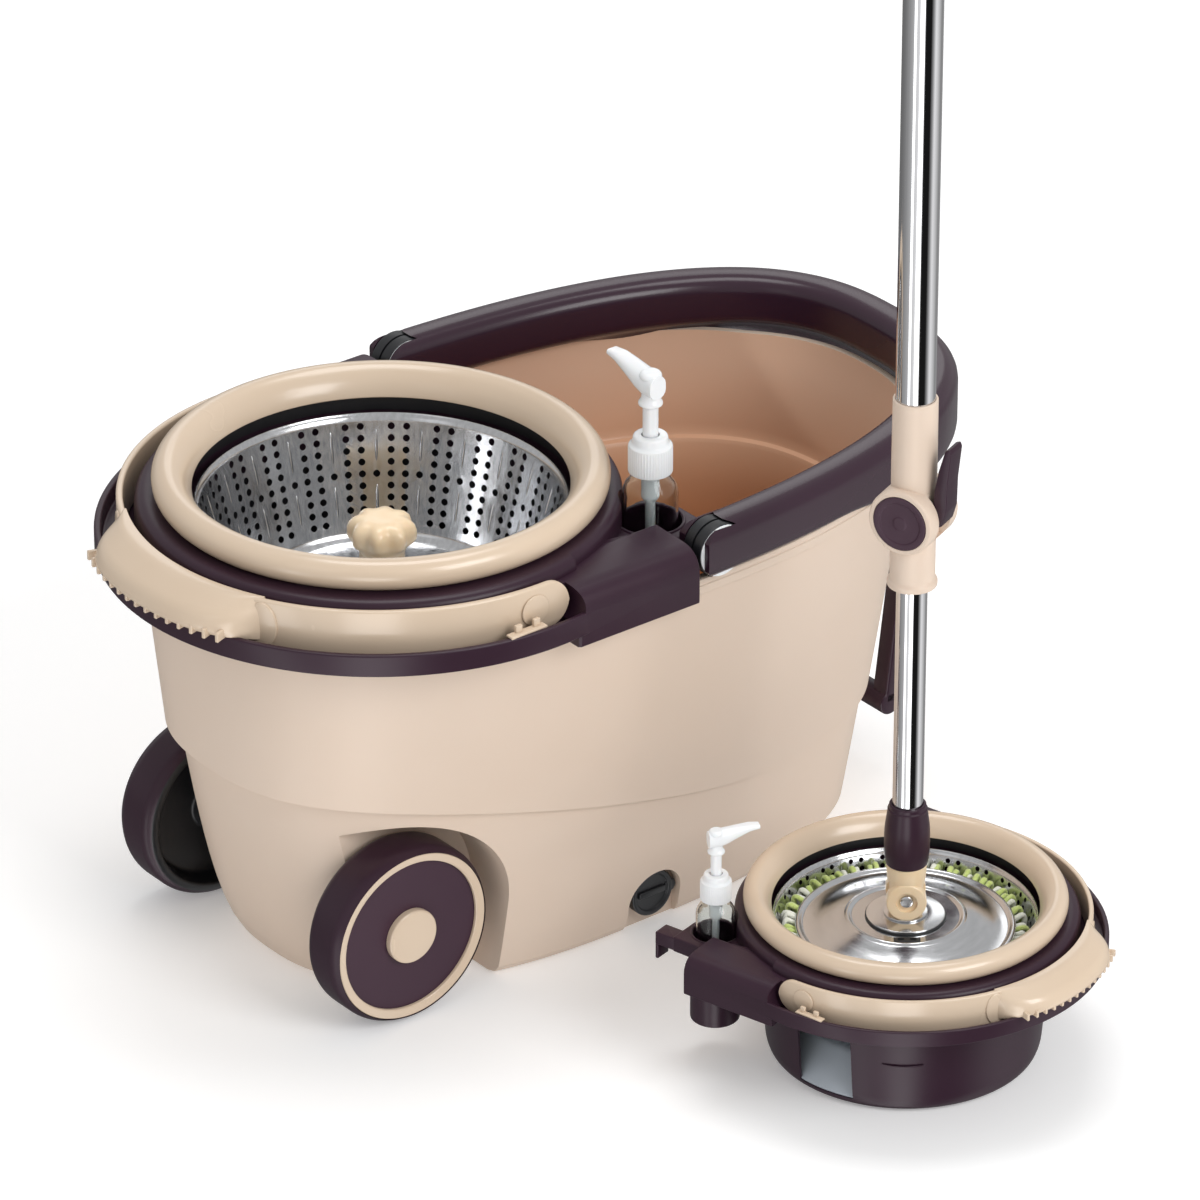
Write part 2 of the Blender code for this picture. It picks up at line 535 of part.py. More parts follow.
def bail(steps):
    low, high = BAIL_PIVOT_Z - BAIL_TALL / 2, BAIL_PIVOT_Z + BAIL_TALL / 2
    t = BAIL_THICK / 2
    section = [(-t, low), (t, low), (t, high - 0.002), (t - 0.002, high), (-t, high)]
    body = swept(bail_line(BAIL_R, steps), section)
    grip = []
    for i in range(9):
        u = mix(-1, 1, i / 8)
        a = radians(180 + GRIP_HALF * u)
        swell = (1 - abs(u) ** 4)
        outer = mix(BAIL_R + t, GRIP_OUT, swell)
        inner = BAIL_R - t - 0.0005
        drop = mix(high - 0.013, GRIP_LOW, swell)
        crown = high + 0.0006
        ring = [(inner, drop), (outer - 0.003, drop), (outer, drop + 0.003), (outer, crown - 0.005),
                (outer - 0.004, crown), (inner, crown)]
        grip.append([(r * cos(a), r * sin(a), z) for r, z in ring])
    body = fused(body, lofted(grip))
    for side in (-1, 1):
        y = side * BAIL_R
        thin = t - 0.0003
        end = along_y(rod(BAIL_TALL / 2 - 0.0002, -y - thin, -y + thin, 24), BAIL_PIVOT_X, 0, BAIL_PIVOT_Z)
        hole_low, hole_high = sorted((-y - side * 0.001, -y + side * 0.01))
        body = cut(fused(body, end),
                   along_y(rod(BAIL_PIN_R + RUN, hole_low, hole_high, 12), BAIL_PIVOT_X, 0, BAIL_PIVOT_Z))
    return body


def bottle():
    r, t = BOTTLE_R, BOTTLE_WALL
    outer = [(0, BOTTLE_LOW), (r - 0.002, BOTTLE_LOW), (r, BOTTLE_LOW + 0.002), (r, BOTTLE_TOP - 0.008),
             (r - 0.003, BOTTLE_TOP - 0.002), (NECK_R, BOTTLE_TOP + 0.0015), (NECK_R, NECK_TOP)]
    inner = [(NECK_R - t, NECK_TOP), (NECK_R - t, BOTTLE_TOP), (r - t - 0.003, BOTTLE_TOP - 0.003),
             (r - t, BOTTLE_TOP - 0.009), (r - t, BOTTLE_LOW + 0.003), (r - t - 0.002, BOTTLE_LOW + t),
             (0, BOTTLE_LOW + t)]
    return turned(outer + inner, 14, closed=False)


def pump_collar():
    """Screw collar with the pump barrel and dip tube hanging from its top."""
    tip = BOTTLE_LOW + 0.006
    profile = [(0.0018, tip), (0.0030, tip), (0.0030, BOTTLE_TOP - 0.020), (0.0065, BOTTLE_TOP - 0.018),
               (0.0065, COLLAR_TOP - 0.004),
               (NECK_R + GAP, COLLAR_TOP - 0.004), (NECK_R + GAP, COLLAR_LOW), (COLLAR_R, COLLAR_LOW),
               (COLLAR_R, COLLAR_TOP - 0.002), (COLLAR_R - 0.002, COLLAR_TOP), (STEM_R + 0.0004, COLLAR_TOP),
               (STEM_R + 0.0004, BOTTLE_TOP - 0.016), (0.0018, BOTTLE_TOP - 0.018)]
    return turned(profile, 14)


def pump_head(turn):
    """Stem and spout; turn is the compass angle of the spout in degrees."""
    stem = turned([(0, COLLAR_TOP - 0.022), (STEM_R, COLLAR_TOP - 0.022), (STEM_R, HEAD_LOW), (0.0062, HEAD_LOW + 0.002),
                   (0.0072, HEAD_LOW + 0.006), (0.0074, HEAD_TOP - 0.003), (0.0060, HEAD_TOP), (0, HEAD_TOP)],
                  12, closed=False)
    loops = []
    for along, wide, low, high in ((-0.004, 0.0060, HEAD_LOW + 0.006, HEAD_TOP - 0.0005),
                                   (0.010, 0.0055, HEAD_LOW + 0.0095, HEAD_TOP + 0.0005),
                                   (0.024, 0.0040, HEAD_LOW + 0.0155, HEAD_TOP + 0.0020),
                                   (NOZZLE, 0.0028, HEAD_LOW + 0.0150, HEAD_TOP + 0.0010)):
        wide_z = (high - low)
        loops.append([(along, y, (low + high) / 2 + z) for y, z in rounded(wide * 2, wide_z, min(wide, wide_z) * 0.45, 2)])
    return fused(stem, moved(lofted(loops), Matrix.Rotation(radians(turn), 4, "Z")))


def wringer(word, place, scale, segments, spout_turn):
    """One wringer unit: deck, tub, ring, spinning basket, bail and soap pump."""
    def add(name, bm, finish, origin=(0, 0, 0)):
        piece(word + "_" + name, bm, finish, origin, place, scale)

    add("deck", deck(segments), PURPLE)
    add("tub", tub(segments), PURPLE)
    add("splash_ring", splash_ring(segments), TAN)
    add("basket", basket(segments), STEEL)
    add("hub_post", hub_post(), AMBER)
    floor = TUB_BOTTOM + TUB_WALL + GAP
    add("spindle", rod(SPINDLE_R, floor + 0.0005, BASKET_FLOOR + BASKET_WALL + 0.020), STEEL)
    add("bearing", tube(BEARING_R, SPINDLE_R + RUN, floor, floor + BEARING_WIDE, 16), STEEL)
    add("bail", bail(segments // 2), TAN, (BAIL_PIVOT_X, 0, BAIL_PIVOT_Z))
    for side, name in ((-1, "bail_pin_a"), (1, "bail_pin_b")):
        ends = sorted((-side * (CHANNEL_IN - 0.0062), -side * (BAIL_R + 0.0007)))
        pin = along_y(rod(BAIL_PIN_R, *ends, 12), BAIL_PIVOT_X, 0, BAIL_PIVOT_Z)
        add(name, pin, TAN, (BAIL_PIVOT_X, side * BAIL_R, BAIL_PIVOT_Z))
    well = (WELL_X, -WELL_Y, 0)
    spot = Matrix.Translation(well)
    add("bottle", moved(bottle(), spot), CLEAR, well)
    add("pump_collar", moved(pump_collar(), spot), WHITE, well)
    add("pump_head", moved(pump_head(spout_turn), spot), WHITE, well)


# Mop, parked in the free-standing wringer and built about its pole

POST_SEAT = (POST_TOP - TUB_BOTTOM) * FREE_SCALE + SEAT_GAP          # height that the spigot rests over
MOP = Matrix.Translation((FREE_X, FREE_Y, POST_SEAT - SPIGOT_LOW))


def mop_head():
    t = PLATE_THICK
    top = [(0.0100, 0.0832), (0.0310, 0.0832), (0.0328, 0.0848), (0.0346, 0.0832), (0.0500, 0.0790),
           (0.0585, 0.0783), (0.0605, PLATE_RIM), (PLATE_R, PLATE_RIM - 0.0005)]
    under = [(PLATE_R, PLATE_RIM - 0.0020), (0.0600, PLATE_RIM - 0.0020), (0.0500, 0.0790 - t), (0.0346, 0.0832 - t),
             (0.0100, 0.0832 - t)]
    piece("mop_plate", turned(top + under, 28), STEEL, place=MOP)
    cup = [(0.0260, 0.0410), (0.0540, 0.0410), (0.0635, 0.0560), (0.0685, 0.0780), (0.0665, 0.0805),
           (PLATE_R + 0.0008, 0.0800), (PLATE_R + 0.0008, 0.0758), (0.0560, 0.0758), (0.0420, 0.0740), (0.0260, 0.0740)]
    piece("mop_strands", turned(cup, 24), STRAND, place=MOP)
    disc = turned([(0, 0.0832 + GAP), (DISC_R, 0.0832 + GAP), (DISC_R, DISC_TOP - 0.0006),
                   (DISC_R - 0.0006, DISC_TOP), (0, DISC_TOP)], 28, closed=False)
    spigot = rod(0.0085, 0.0832 - t - 0.0008, 0.0840)
    piece("centre_disc", fused(disc, spigot), STEEL, place=MOP)


def knuckle_parts():
    """Built with the pin along local X, then turned."""
    turn = Matrix.Rotation(radians(KNUCKLE_TURN), 4, "Z")
    lie = Matrix.Translation((0, 0, PIN_Z)) @ Matrix.Rotation(pi / 2, 4, "Y")
    half = SLOT / 2 - GAP
    ear = moved(rod(0.0092, -half, half), lie)
    leg = box(-half, half, -0.0060, 0.0060, DISC_TOP + GAP, PIN_Z)
    base = cut(fused(ear, leg), moved(rod(PIN_R + RUN, -0.02, 0.02, 12), lie))
    piece("knuckle_base", moved(base, turn), AMBER, place=MOP)

    barrel = turned([(0, PIN_Z), (0.0105, PIN_Z), (0.0112, PIN_Z + 0.012), (0.0115, KNUCKLE_TOP - GAP),
                     (0.0080, KNUCKLE_TOP - GAP), (0.0080, 0.1280), (0, 0.1280)], 16, closed=False)
    cheek = moved(rod(KNUCKLE_R, -0.0112, 0.0112, 16), lie)
    slot = box(-SLOT / 2, SLOT / 2, -0.02, 0.02, PIN_Z - 0.02, PIN_Z + 0.0098)
    body = cut(fused(barrel, cheek), slot, moved(rod(PIN_R + RUN, -0.02, 0.02, 12), lie))
    piece("knuckle", moved(body, turn), AMBER, (0, 0, PIN_Z), MOP)
    pin = moved(moved(rod(PIN_R, -0.0106, 0.0106, 12), lie), turn)
    piece("knuckle_pin", pin, STEEL, (0, 0, PIN_Z), MOP)


def poles():
    web = 0.1285
    ferrule = turned([(0.0083, KNUCKLE_TOP), (0.0119, KNUCKLE_TOP), (FERRULE_R, 0.1260), (FERRULE_R, 0.1400),
                      (0.0112, 0.1520), (0.0106, FERRULE_TOP), (LOW_TUBE_R + GAP, FERRULE_TOP),
                      (LOW_TUBE_R + GAP, web + 0.002), (0.0040, web + 0.002), (0.0040, web), (0.0083, web)], 16)
    piece("ferrule", ferrule, PURPLE, place=MOP)
    low = web + 0.002 + GAP
    piece("lower_tube", tube(LOW_TUBE_R, LOW_TUBE_R - TUBE_WALL, low, LOW_TUBE_TOP), CHROME, place=MOP)
    nut = turned([(0.0038, LOW_TUBE_TOP - 0.012), (0.0074, LOW_TUBE_TOP - 0.012), (0.0074, LOW_TUBE_TOP + GAP),
                  (0.0096, LOW_TUBE_TOP + GAP), (0.0096, LOW_TUBE_TOP + 0.006), (0.0038, LOW_TUBE_TOP + 0.006)], 16)
    piece("drive_nut", nut, BLACK, place=MOP)
    inner = TOP_TUBE_R - TUBE_WALL
    bottom = CLAMP_Z - 0.0100
    piece("upper_tube", tube(TOP_TUBE_R, inner, bottom, TOP_TUBE_TOP), CHROME, place=MOP)
    plug_low = TOP_TUBE_TOP - 0.0300
    plug = turned([(0, plug_low + 0.020), (0.0036, plug_low + 0.020), (0.0036, plug_low), (inner - GAP, plug_low),
                   (inner - GAP, TOP_TUBE_TOP - 0.001), (0, TOP_TUBE_TOP - 0.001)], 16, closed=False)
    piece("rod_plug", plug, BLACK, place=MOP)
    rod_top, steps = plug_low + 0.0190, 42
    loops = []
    for i in range(steps + 1):
        z = mix(ROD_LOW, rod_top, i / steps)
        a = 2 * pi * (z - ROD_LOW) / ROD_LEAD
        half, thin = ROD_WIDE / 2, ROD_THICK / 2
        corners = ((half, thin), (-half, thin), (-half, -thin), (half, -thin))
        loops.append([(x * cos(a) - y * sin(a), x * sin(a) + y * cos(a), z) for x, y in corners])
    piece("twist_rod", lofted(loops), STEEL, place=MOP)


def clamp():
    """Telescopic clamp: local X is the axis of the cross barrel, the lever is on the -Y side."""
    turn = Matrix.Rotation(radians(CLAMP_TURN), 4, "Z")
    lie = Matrix.Translation((0, 0, CLAMP_Z)) @ Matrix.Rotation(pi / 2, 4, "Y")
    step_z = CLAMP_Z - 0.0100 - GAP
    core = turned([(0, CLAMP_LOW), (0.0140, CLAMP_LOW), (0.0140, CLAMP_LOW + 0.003), (0.0125, CLAMP_LOW + 0.005),
                   (0.0130, CLAMP_Z), (SLEEVE_R, CLAMP_Z + 0.02), (SLEEVE_R, CLAMP_TOP), (0, CLAMP_TOP)],
                  16, closed=False)
    barrel = moved(rod(BARREL_R, -BARREL_HALF, BARREL_HALF, 20), lie)
    pocket = CLAMP_CAP_R + GAP
    caps = [moved(rod(pocket, *ends, 20), lie) for ends in
            ((BARREL_HALF - 0.0012, BARREL_HALF + 0.01), (-BARREL_HALF - 0.01, -BARREL_HALF + 0.0012))]
    bore_low = rod(LOW_TUBE_R + GAP, CLAMP_LOW - 0.01, CLAMP_TOP + 0.01, 16)
    bore_high = rod(TOP_TUBE_R + GAP, step_z, CLAMP_TOP + 0.01, 16)
    slot = box(-LEVER_HALF - GAP, LEVER_HALF + GAP, -0.03, -0.0121, CLAMP_Z - 0.0130, CLAMP_Z + 0.022)
    hinge = Matrix.Translation((0, -LEVER_PIN, CLAMP_Z)) @ Matrix.Rotation(pi / 2, 4, "Y")
    body = cut(fused(core, barrel), bore_low, bore_high, *caps, slot,
               moved(rod(LEVER_PIN_R + RUN, -0.0100, 0.0100, 12), hinge))
    piece("clamp_body", moved(body, turn), BEIGE, place=MOP)
    outline = [(0.0128, -0.0015), (0.0145, -0.0032), (0.0175, -0.0032), (0.0208, -0.0010), (0.0232, 0.0080),
               (0.0272, 0.0440), (0.0262, 0.0465), (0.0236, 0.0465), (0.0192, 0.0150), (0.0165, 0.0034),
               (0.0128, 0.0015)]
    lever = lofted([[(x, -u, CLAMP_Z + z) for u, z in outline] for x in (-LEVER_HALF, LEVER_HALF)])
    lever = cut(lever, moved(rod(LEVER_PIN_R + RUN, -0.02, 0.02, 12), hinge))
    axis = turn @ Vector((0, -LEVER_PIN, CLAMP_Z))
    piece("clamp_lever", moved(lever, turn), PURPLE, axis, MOP)
    pin = moved(moved(rod(LEVER_PIN_R, -0.0097, 0.0097, 12), hinge), turn)
    piece("clamp_pin", pin, STEEL, place=MOP)
    for word, ends in (("a", (BARREL_HALF - 0.0012 + GAP, BARREL_HALF + 0.0006)),
                       ("b", (-BARREL_HALF - 0.0006, -BARREL_HALF + 0.0012 - GAP))):
        cap = moved(moved(rod(CLAMP_CAP_R, *ends, 20), lie), turn)
        piece("clamp_cap_" + word, cap, PURPLE, place=MOP)


def grip():
    """Hand grip with a hanging eye moulded on its end."""
    inside = TOP_TUBE_R + GAP
    ceiling = TOP_TUBE_TOP + GAP
    body = turned([(0, ceiling), (inside, ceiling), (inside, GRIP_LOW_END), (GRIP_R - 0.0015, GRIP_LOW_END),
                   (GRIP_R, GRIP_LOW_END + 0.004), (GRIP_R - 0.0012, mix(GRIP_LOW_END, GRIP_TOP_END, 0.5)),
                   (GRIP_R, GRIP_TOP_END - 0.018), (GRIP_R - 0.004, GRIP_TOP_END - 0.003),
                   (0.0060, GRIP_TOP_END), (0, GRIP_TOP_END)], 16, closed=False)
    eye = along_y(tube(0.0130, 0.0080, -0.0030, 0.0030), 0, 0, GRIP_TOP_END + 0.0110)
    piece("grip", fused(body, eye), PURPLE, place=MOP)


def main():
    piece("bucket_shell", bucket_shell(), BEIGE)
    for side, word in ((-1, "near"), (1, "far")):
        wheel_set(side, word)
    drain_cap()
    carry_handle()
    tow_handle()
    wringer("docked", Matrix(), (1, 1, 1), 32, 90)
    stand = Matrix.Translation((FREE_X, FREE_Y, -TUB_BOTTOM * FREE_SCALE))
    stand = stand @ Matrix.Rotation(radians(FREE_TURN), 4, "Z")
    wringer("free", stand, (FREE_SCALE, -FREE_SCALE, FREE_SCALE), 24, FREE_TURN + 24)
    mop_head()
    knuckle_parts()
    poles()
    clamp()
    grip()


main()
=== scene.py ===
import json
import random
from math import acos, atan2, cos, degrees, pi, radians, sin, sqrt

import bmesh
import bpy
from mathutils import Matrix, Vector, kdtree


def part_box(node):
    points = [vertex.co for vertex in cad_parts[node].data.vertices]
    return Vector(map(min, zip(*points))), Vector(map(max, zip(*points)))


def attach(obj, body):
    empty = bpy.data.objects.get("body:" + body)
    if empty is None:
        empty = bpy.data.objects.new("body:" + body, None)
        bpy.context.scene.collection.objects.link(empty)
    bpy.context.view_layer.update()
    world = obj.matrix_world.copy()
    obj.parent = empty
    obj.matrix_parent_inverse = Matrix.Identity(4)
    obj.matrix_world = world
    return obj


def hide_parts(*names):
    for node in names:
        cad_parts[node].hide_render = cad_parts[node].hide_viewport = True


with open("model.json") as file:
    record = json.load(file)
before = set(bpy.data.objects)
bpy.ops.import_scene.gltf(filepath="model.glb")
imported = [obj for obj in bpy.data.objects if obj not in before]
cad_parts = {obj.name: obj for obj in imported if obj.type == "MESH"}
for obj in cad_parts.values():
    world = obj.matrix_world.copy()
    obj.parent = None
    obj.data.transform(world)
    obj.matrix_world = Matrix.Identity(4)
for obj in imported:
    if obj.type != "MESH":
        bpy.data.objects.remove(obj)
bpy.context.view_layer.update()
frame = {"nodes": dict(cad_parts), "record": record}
joints = {j["name"]: j for j in frame["record"]["behaviour"]["joints"]}
print("spin mop: frame loaded,", len(frame["nodes"]), "parts")

# Metres, +Z up. The docked wringer spins about the Z axis, the bucket pours towards +X.


# ---- colours and nodes

def linear(code):
    parts = [int(code[i:i + 2], 16) / 255 for i in (1, 3, 5)]
    return tuple(c / 12.92 if c <= 0.04045 else ((c + 0.055) / 1.055) ** 2.4 for c in parts) + (1.0,)


def addNode(tree, kind, settings=None, links=None):
    made = tree.nodes.new(kind)
    for key, value in (settings or {}).items():
        if isinstance(key, int) or key in made.inputs:
            made.inputs[key].default_value = value
        else:
            setattr(made, key, value)
    for key, source in (links or {}).items():
        tree.links.new(source, made.inputs[key])
    return made


def startMaterial(name, shaderSettings):
    made = bpy.data.materials.new(name)
    made.use_nodes = True
    tree = made.node_tree
    tree.nodes.clear()
    shader = addNode(tree, "ShaderNodeBsdfPrincipled", shaderSettings)
    addNode(tree, "ShaderNodeOutputMaterial", links={"Surface": shader.outputs[0]})
    coords = addNode(tree, "ShaderNodeTexCoord")
    return made, tree, shader, coords.outputs["Object"]


def mouldedPlastic(name, look):
    # Injection moulded: even colour with faint cloudy flow, a fine spark-eroded grain, slightly uneven gloss.
    shaderSettings = {"IOR": look.get("ior", 1.5), "Roughness": look["rough"],
                      "Coat Weight": look.get("coat", 0.0), "Coat Roughness": look.get("coatRough", 0.1),
                      "Subsurface Weight": look.get("depth", 0.0), "Subsurface Radius": (0.006, 0.004, 0.003),
                      "Subsurface Scale": 0.6}
    made, tree, shader, place = startMaterial(name, shaderSettings)
    cloud = addNode(tree, "ShaderNodeTexNoise", {"Scale": 1 / look.get("cloud", 0.045), "Detail": 3.0},
                    {"Vector": place})
    tint = addNode(tree, "ShaderNodeMix", {"data_type": "RGBA"}, {"Factor": cloud.outputs["Fac"]})
    tint.inputs[6].default_value = linear(look["dark"])
    tint.inputs[7].default_value = linear(look["light"])
    coloured = tint.outputs[2]
    if "paintedBounceTone" in look:                                     # painted bounce light: the colour turns warmer towards the bottom of the bucket
        height = addNode(tree, "ShaderNodeSeparateXYZ", links={0: place})
        down = addNode(tree, "ShaderNodeMapRange", {"From Min": 0.225, "From Max": 0.120},
                       {"Value": height.outputs[2]})
        warm = addNode(tree, "ShaderNodeMix", {"data_type": "RGBA"}, {"Factor": down.outputs[0], 6: coloured})
        warm.inputs[7].default_value = linear(look["paintedBounceTone"])
        coloured = warm.outputs[2]
    tree.links.new(coloured, shader.inputs["Base Color"])
    gloss = addNode(tree, "ShaderNodeMapRange", {"To Min": look["rough"] - look.get("uneven", 0.04),
                                                 "To Max": look["rough"] + look.get("uneven", 0.04)},
                    {"Value": cloud.outputs["Fac"]})
    tree.links.new(gloss.outputs[0], shader.inputs["Roughness"])
    grain = addNode(tree, "ShaderNodeTexNoise", {"Scale": 1 / look.get("grain", 0.0009), "Detail": 2.0},
                    {"Vector": place})
    bump = addNode(tree, "ShaderNodeBump", {"Strength": look.get("bump", 0.12), "Distance": 0.00012},
                   {"Height": grain.outputs["Fac"]})
    tree.links.new(bump.outputs[0], shader.inputs["Normal"])
    return made


def drawnMetal(name, look):
    # Sheet or tube steel: a mirror broken by fine draw lines along Z and a few soft smudges.
    made, tree, shader, place = startMaterial(name, {"Metallic": 1.0, "Roughness": look["rough"]})
    lines = addNode(tree, "ShaderNodeMapping", {"Scale": look["stretch"]}, {"Vector": place})
    streak = addNode(tree, "ShaderNodeTexNoise", {"Scale": 1.0, "Detail": 4.0}, {"Vector": lines.outputs[0]})
    smudge = addNode(tree, "ShaderNodeTexNoise", {"Scale": 1 / look.get("smudge", 0.03), "Detail": 2.0},
                     {"Vector": place})
    both = addNode(tree, "ShaderNodeMath", {"operation": "ADD"},
                   {0: streak.outputs["Fac"], 1: smudge.outputs["Fac"]})
    gloss = addNode(tree, "ShaderNodeMapRange", {"From Min": 0.6, "From Max": 1.4, "To Min": look["rough"] * 0.6,
                                                 "To Max": look["rough"] * 1.6}, {"Value": both.outputs[0]})
    tree.links.new(gloss.outputs[0], shader.inputs["Roughness"])
    tint = addNode(tree, "ShaderNodeMix", {"data_type": "RGBA"}, {"Factor": streak.outputs["Fac"]})
    tint.inputs[6].default_value = linear(look["dark"])
    tint.inputs[7].default_value = linear(look["light"])
    tree.links.new(tint.outputs[2], shader.inputs["Base Color"])
    bump = addNode(tree, "ShaderNodeBump", {"Strength": look["bump"], "Distance": 0.0001},
                   {"Height": streak.outputs["Fac"]})
    tree.links.new(bump.outputs[0], shader.inputs["Normal"])
    return made


def blownPlastic(name):
    # Clear blow-moulded PET: sees through, with faint waves that bend what stands behind it.
    made, tree, shader, place = startMaterial(name, {"Base Color": linear("#F4F8F7"), "Roughness": 0.04,
                                                     "IOR": 1.33, "Transmission Weight": 1.0})
    waves = addNode(tree, "ShaderNodeTexNoise", {"Scale": 90.0, "Detail": 1.0}, {"Vector": place})
    bump = addNode(tree, "ShaderNodeBump", {"Strength": 0.12, "Distance": 0.0003}, {"Height": waves.outputs["Fac"]})
    tree.links.new(bump.outputs[0], shader.inputs["Normal"])
    return made


def chenille(name, look):
    # Microfibre pile: matt, with a soft edge glow and clumped fibres about 0.6 mm across.
    made, tree, shader, place = startMaterial(name, {"Roughness": 0.95, "Sheen Weight": 0.6, "Sheen Roughness": 0.5})
    clump = addNode(tree, "ShaderNodeTexNoise", {"Scale": 1 / 0.0016, "Detail": 4.0}, {"Vector": place})
    tint = addNode(tree, "ShaderNodeMix", {"data_type": "RGBA"}, {"Factor": clump.outputs["Fac"]})
    tint.inputs[6].default_value = linear(look["dark"])
    tint.inputs[7].default_value = linear(look["light"])
    tree.links.new(tint.outputs[2], shader.inputs["Base Color"])
    bump = addNode(tree, "ShaderNodeBump", {"Strength": 0.9, "Distance": 0.0008}, {"Height": clump.outputs["Fac"]})
    tree.links.new(bump.outputs[0], shader.inputs["Normal"])
    return made


beigeBody = mouldedPlastic("beigePolypropyleneSatin", {
    "dark": "#DAC5B2", "light": "#E1CEBD", "rough": 0.42, "cloud": 0.12, "depth": 0.04, "bump": 0.10})
# warmer copy of the beige for the inside faces: painted bounce light, warmer still further down
beigeInsidePaintedBounce = mouldedPlastic("beigePolypropyleneInsidePaintedBounce", {
    "dark": "#DDB497", "light": "#E3BFA5", "paintedBounceTone": "#D89A6C", "rough": 0.38, "cloud": 0.15, "depth": 0.04,
    "bump": 0.08})
tanGloss = mouldedPlastic("tanAbsPolished", {
    "dark": "#D3BCA3", "light": "#DAC6AF", "rough": 0.26, "coat": 0.35, "coatRough": 0.12, "cloud": 0.07,
    "bump": 0.05})
purpleBody = mouldedPlastic("auberginePolypropyleneSatin", {
    "dark": "#301C29", "light": "#372230", "rough": 0.34, "ior": 1.36, "cloud": 0.06, "bump": 0.16, "grain": 0.0011})
purpleGloss = mouldedPlastic("auberginePolypropylenePolished", {
    "dark": "#301C29", "light": "#372230", "rough": 0.24, "ior": 1.40, "coat": 0.1, "coatRough": 0.12, "cloud": 0.08,
    "bump": 0.05})
purpleDisc = mouldedPlastic("auberginePlateFineGrain", {
    "dark": "#3E2735", "light": "#452E3C", "rough": 0.45, "ior": 1.38, "cloud": 0.05, "bump": 0.25, "grain": 0.0014})
blackBody = mouldedPlastic("blackPolypropylene", {
    "dark": "#191A1D", "light": "#232428", "rough": 0.42, "bump": 0.15})
# near-black material put where there is only shade: painted shade inside the tub and in the gap below the ring
shadowGap = mouldedPlastic("blackSplashSkirt", {
    "dark": "#141417", "light": "#1D1C20", "rough": 0.5, "bump": 0.1})
amberBody = mouldedPlastic("amberNylonMoulded", {
    "dark": "#F0CFA0", "light": "#F8E6CA", "rough": 0.3, "coat": 0.2, "cloud": 0.012, "depth": 0.15, "bump": 0.06})
whitePump = mouldedPlastic("whitePolypropylenePolished", {
    "dark": "#EEF0F2", "light": "#F7F8F9", "rough": 0.25, "coat": 0.2, "depth": 0.1, "bump": 0.03})
greyTray = mouldedPlastic("greyTrayPolypropylene", {
    "dark": "#A9B2BC", "light": "#C3CBD3", "rough": 0.3, "bump": 0.05})
spinSteel = drawnMetal("stainlessDrawnSheet", {
    "dark": "#B9BABC", "light": "#DADBDD", "rough": 0.17, "stretch": (420, 420, 26), "smudge": 0.02, "bump": 0.10})
dishSteel = drawnMetal("stainlessSpunDish", {
    "dark": "#C4C5C7", "light": "#DEDFE1", "rough": 0.16, "stretch": (60, 60, 900), "smudge": 0.05, "bump": 0.04})
chromeTube = drawnMetal("chromedTube", {
    "dark": "#D2D2D4", "light": "#E6E6E8", "rough": 0.07, "stretch": (700, 700, 6), "smudge": 0.06, "bump": 0.02})
clearBottle = blownPlastic("clearPetBottle")
strandGreen = chenille("microfibreLime", {"dark": "#A9BE54", "light": "#DCE89C"})
strandWhite = chenille("microfibreWhite", {"dark": "#D9DCC9", "light": "#F8F8EE"})
print("materials ready")


# ---- shaping tools

def mix(a, b, t):
    return a + (b - a) * t


def ease(a, b, x):
    t = min(1.0, max(0.0, (x - a) / (b - a)))
    return t * t * (3 - 2 * t)


def filleted(points, closed=True, steps=4):
    # points are (r, z, fillet); a fillet above zero rounds that corner
    out = []
    for i, (r, z, size) in enumerate(points):
        here = Vector((r, z))
        if size <= 0 or (not closed and i in (0, len(points) - 1)):
            out.append((r, z))
            continue
        before = Vector(points[i - 1][:2]) - here
        after = Vector(points[(i + 1) % len(points)][:2]) - here
        reach = min(size, before.length * 0.49, after.length * 0.49)
        a, b = here + before.normalized() * reach, here + after.normalized() * reach
        for k in range(steps + 1):
            t = k / steps
            out.append(tuple((1 - t) ** 2 * a + 2 * t * (1 - t) * here + t * t * b))
    return out


def arcPoints(cx, cz, radius, start, end, steps):
    return [(cx + radius * cos(radians(mix(start, end, i / steps))),
             cz + radius * sin(radians(mix(start, end, i / steps)))) for i in range(steps + 1)]


def spun(profile, segments=96, closed=True):
    bm = bmesh.new()
    verts = [bm.verts.new((r, 0, z)) for r, z in profile]
    pairs = list(zip(verts, verts[1:])) + ([(verts[-1], verts[0])] if closed else [])
    edges = [bm.edges.new(pair) for pair in pairs]
    bmesh.ops.spin(bm, geom=verts + edges, cent=(0, 0, 0), axis=(0, 0, 1), angle=2 * pi, steps=segments,
                   use_merge=True)
    bmesh.ops.remove_doubles(bm, verts=bm.verts[:], dist=1e-6)
    bmesh.ops.recalc_face_normals(bm, faces=bm.faces[:])
    return bm


def rod(radius, low, high, segments=48, edge=0.0):
    points = [(0, low, 0), (radius, low, edge), (radius, high, edge), (0, high, 0)]
    return spun(filleted(points, closed=False, steps=3), segments, closed=False)


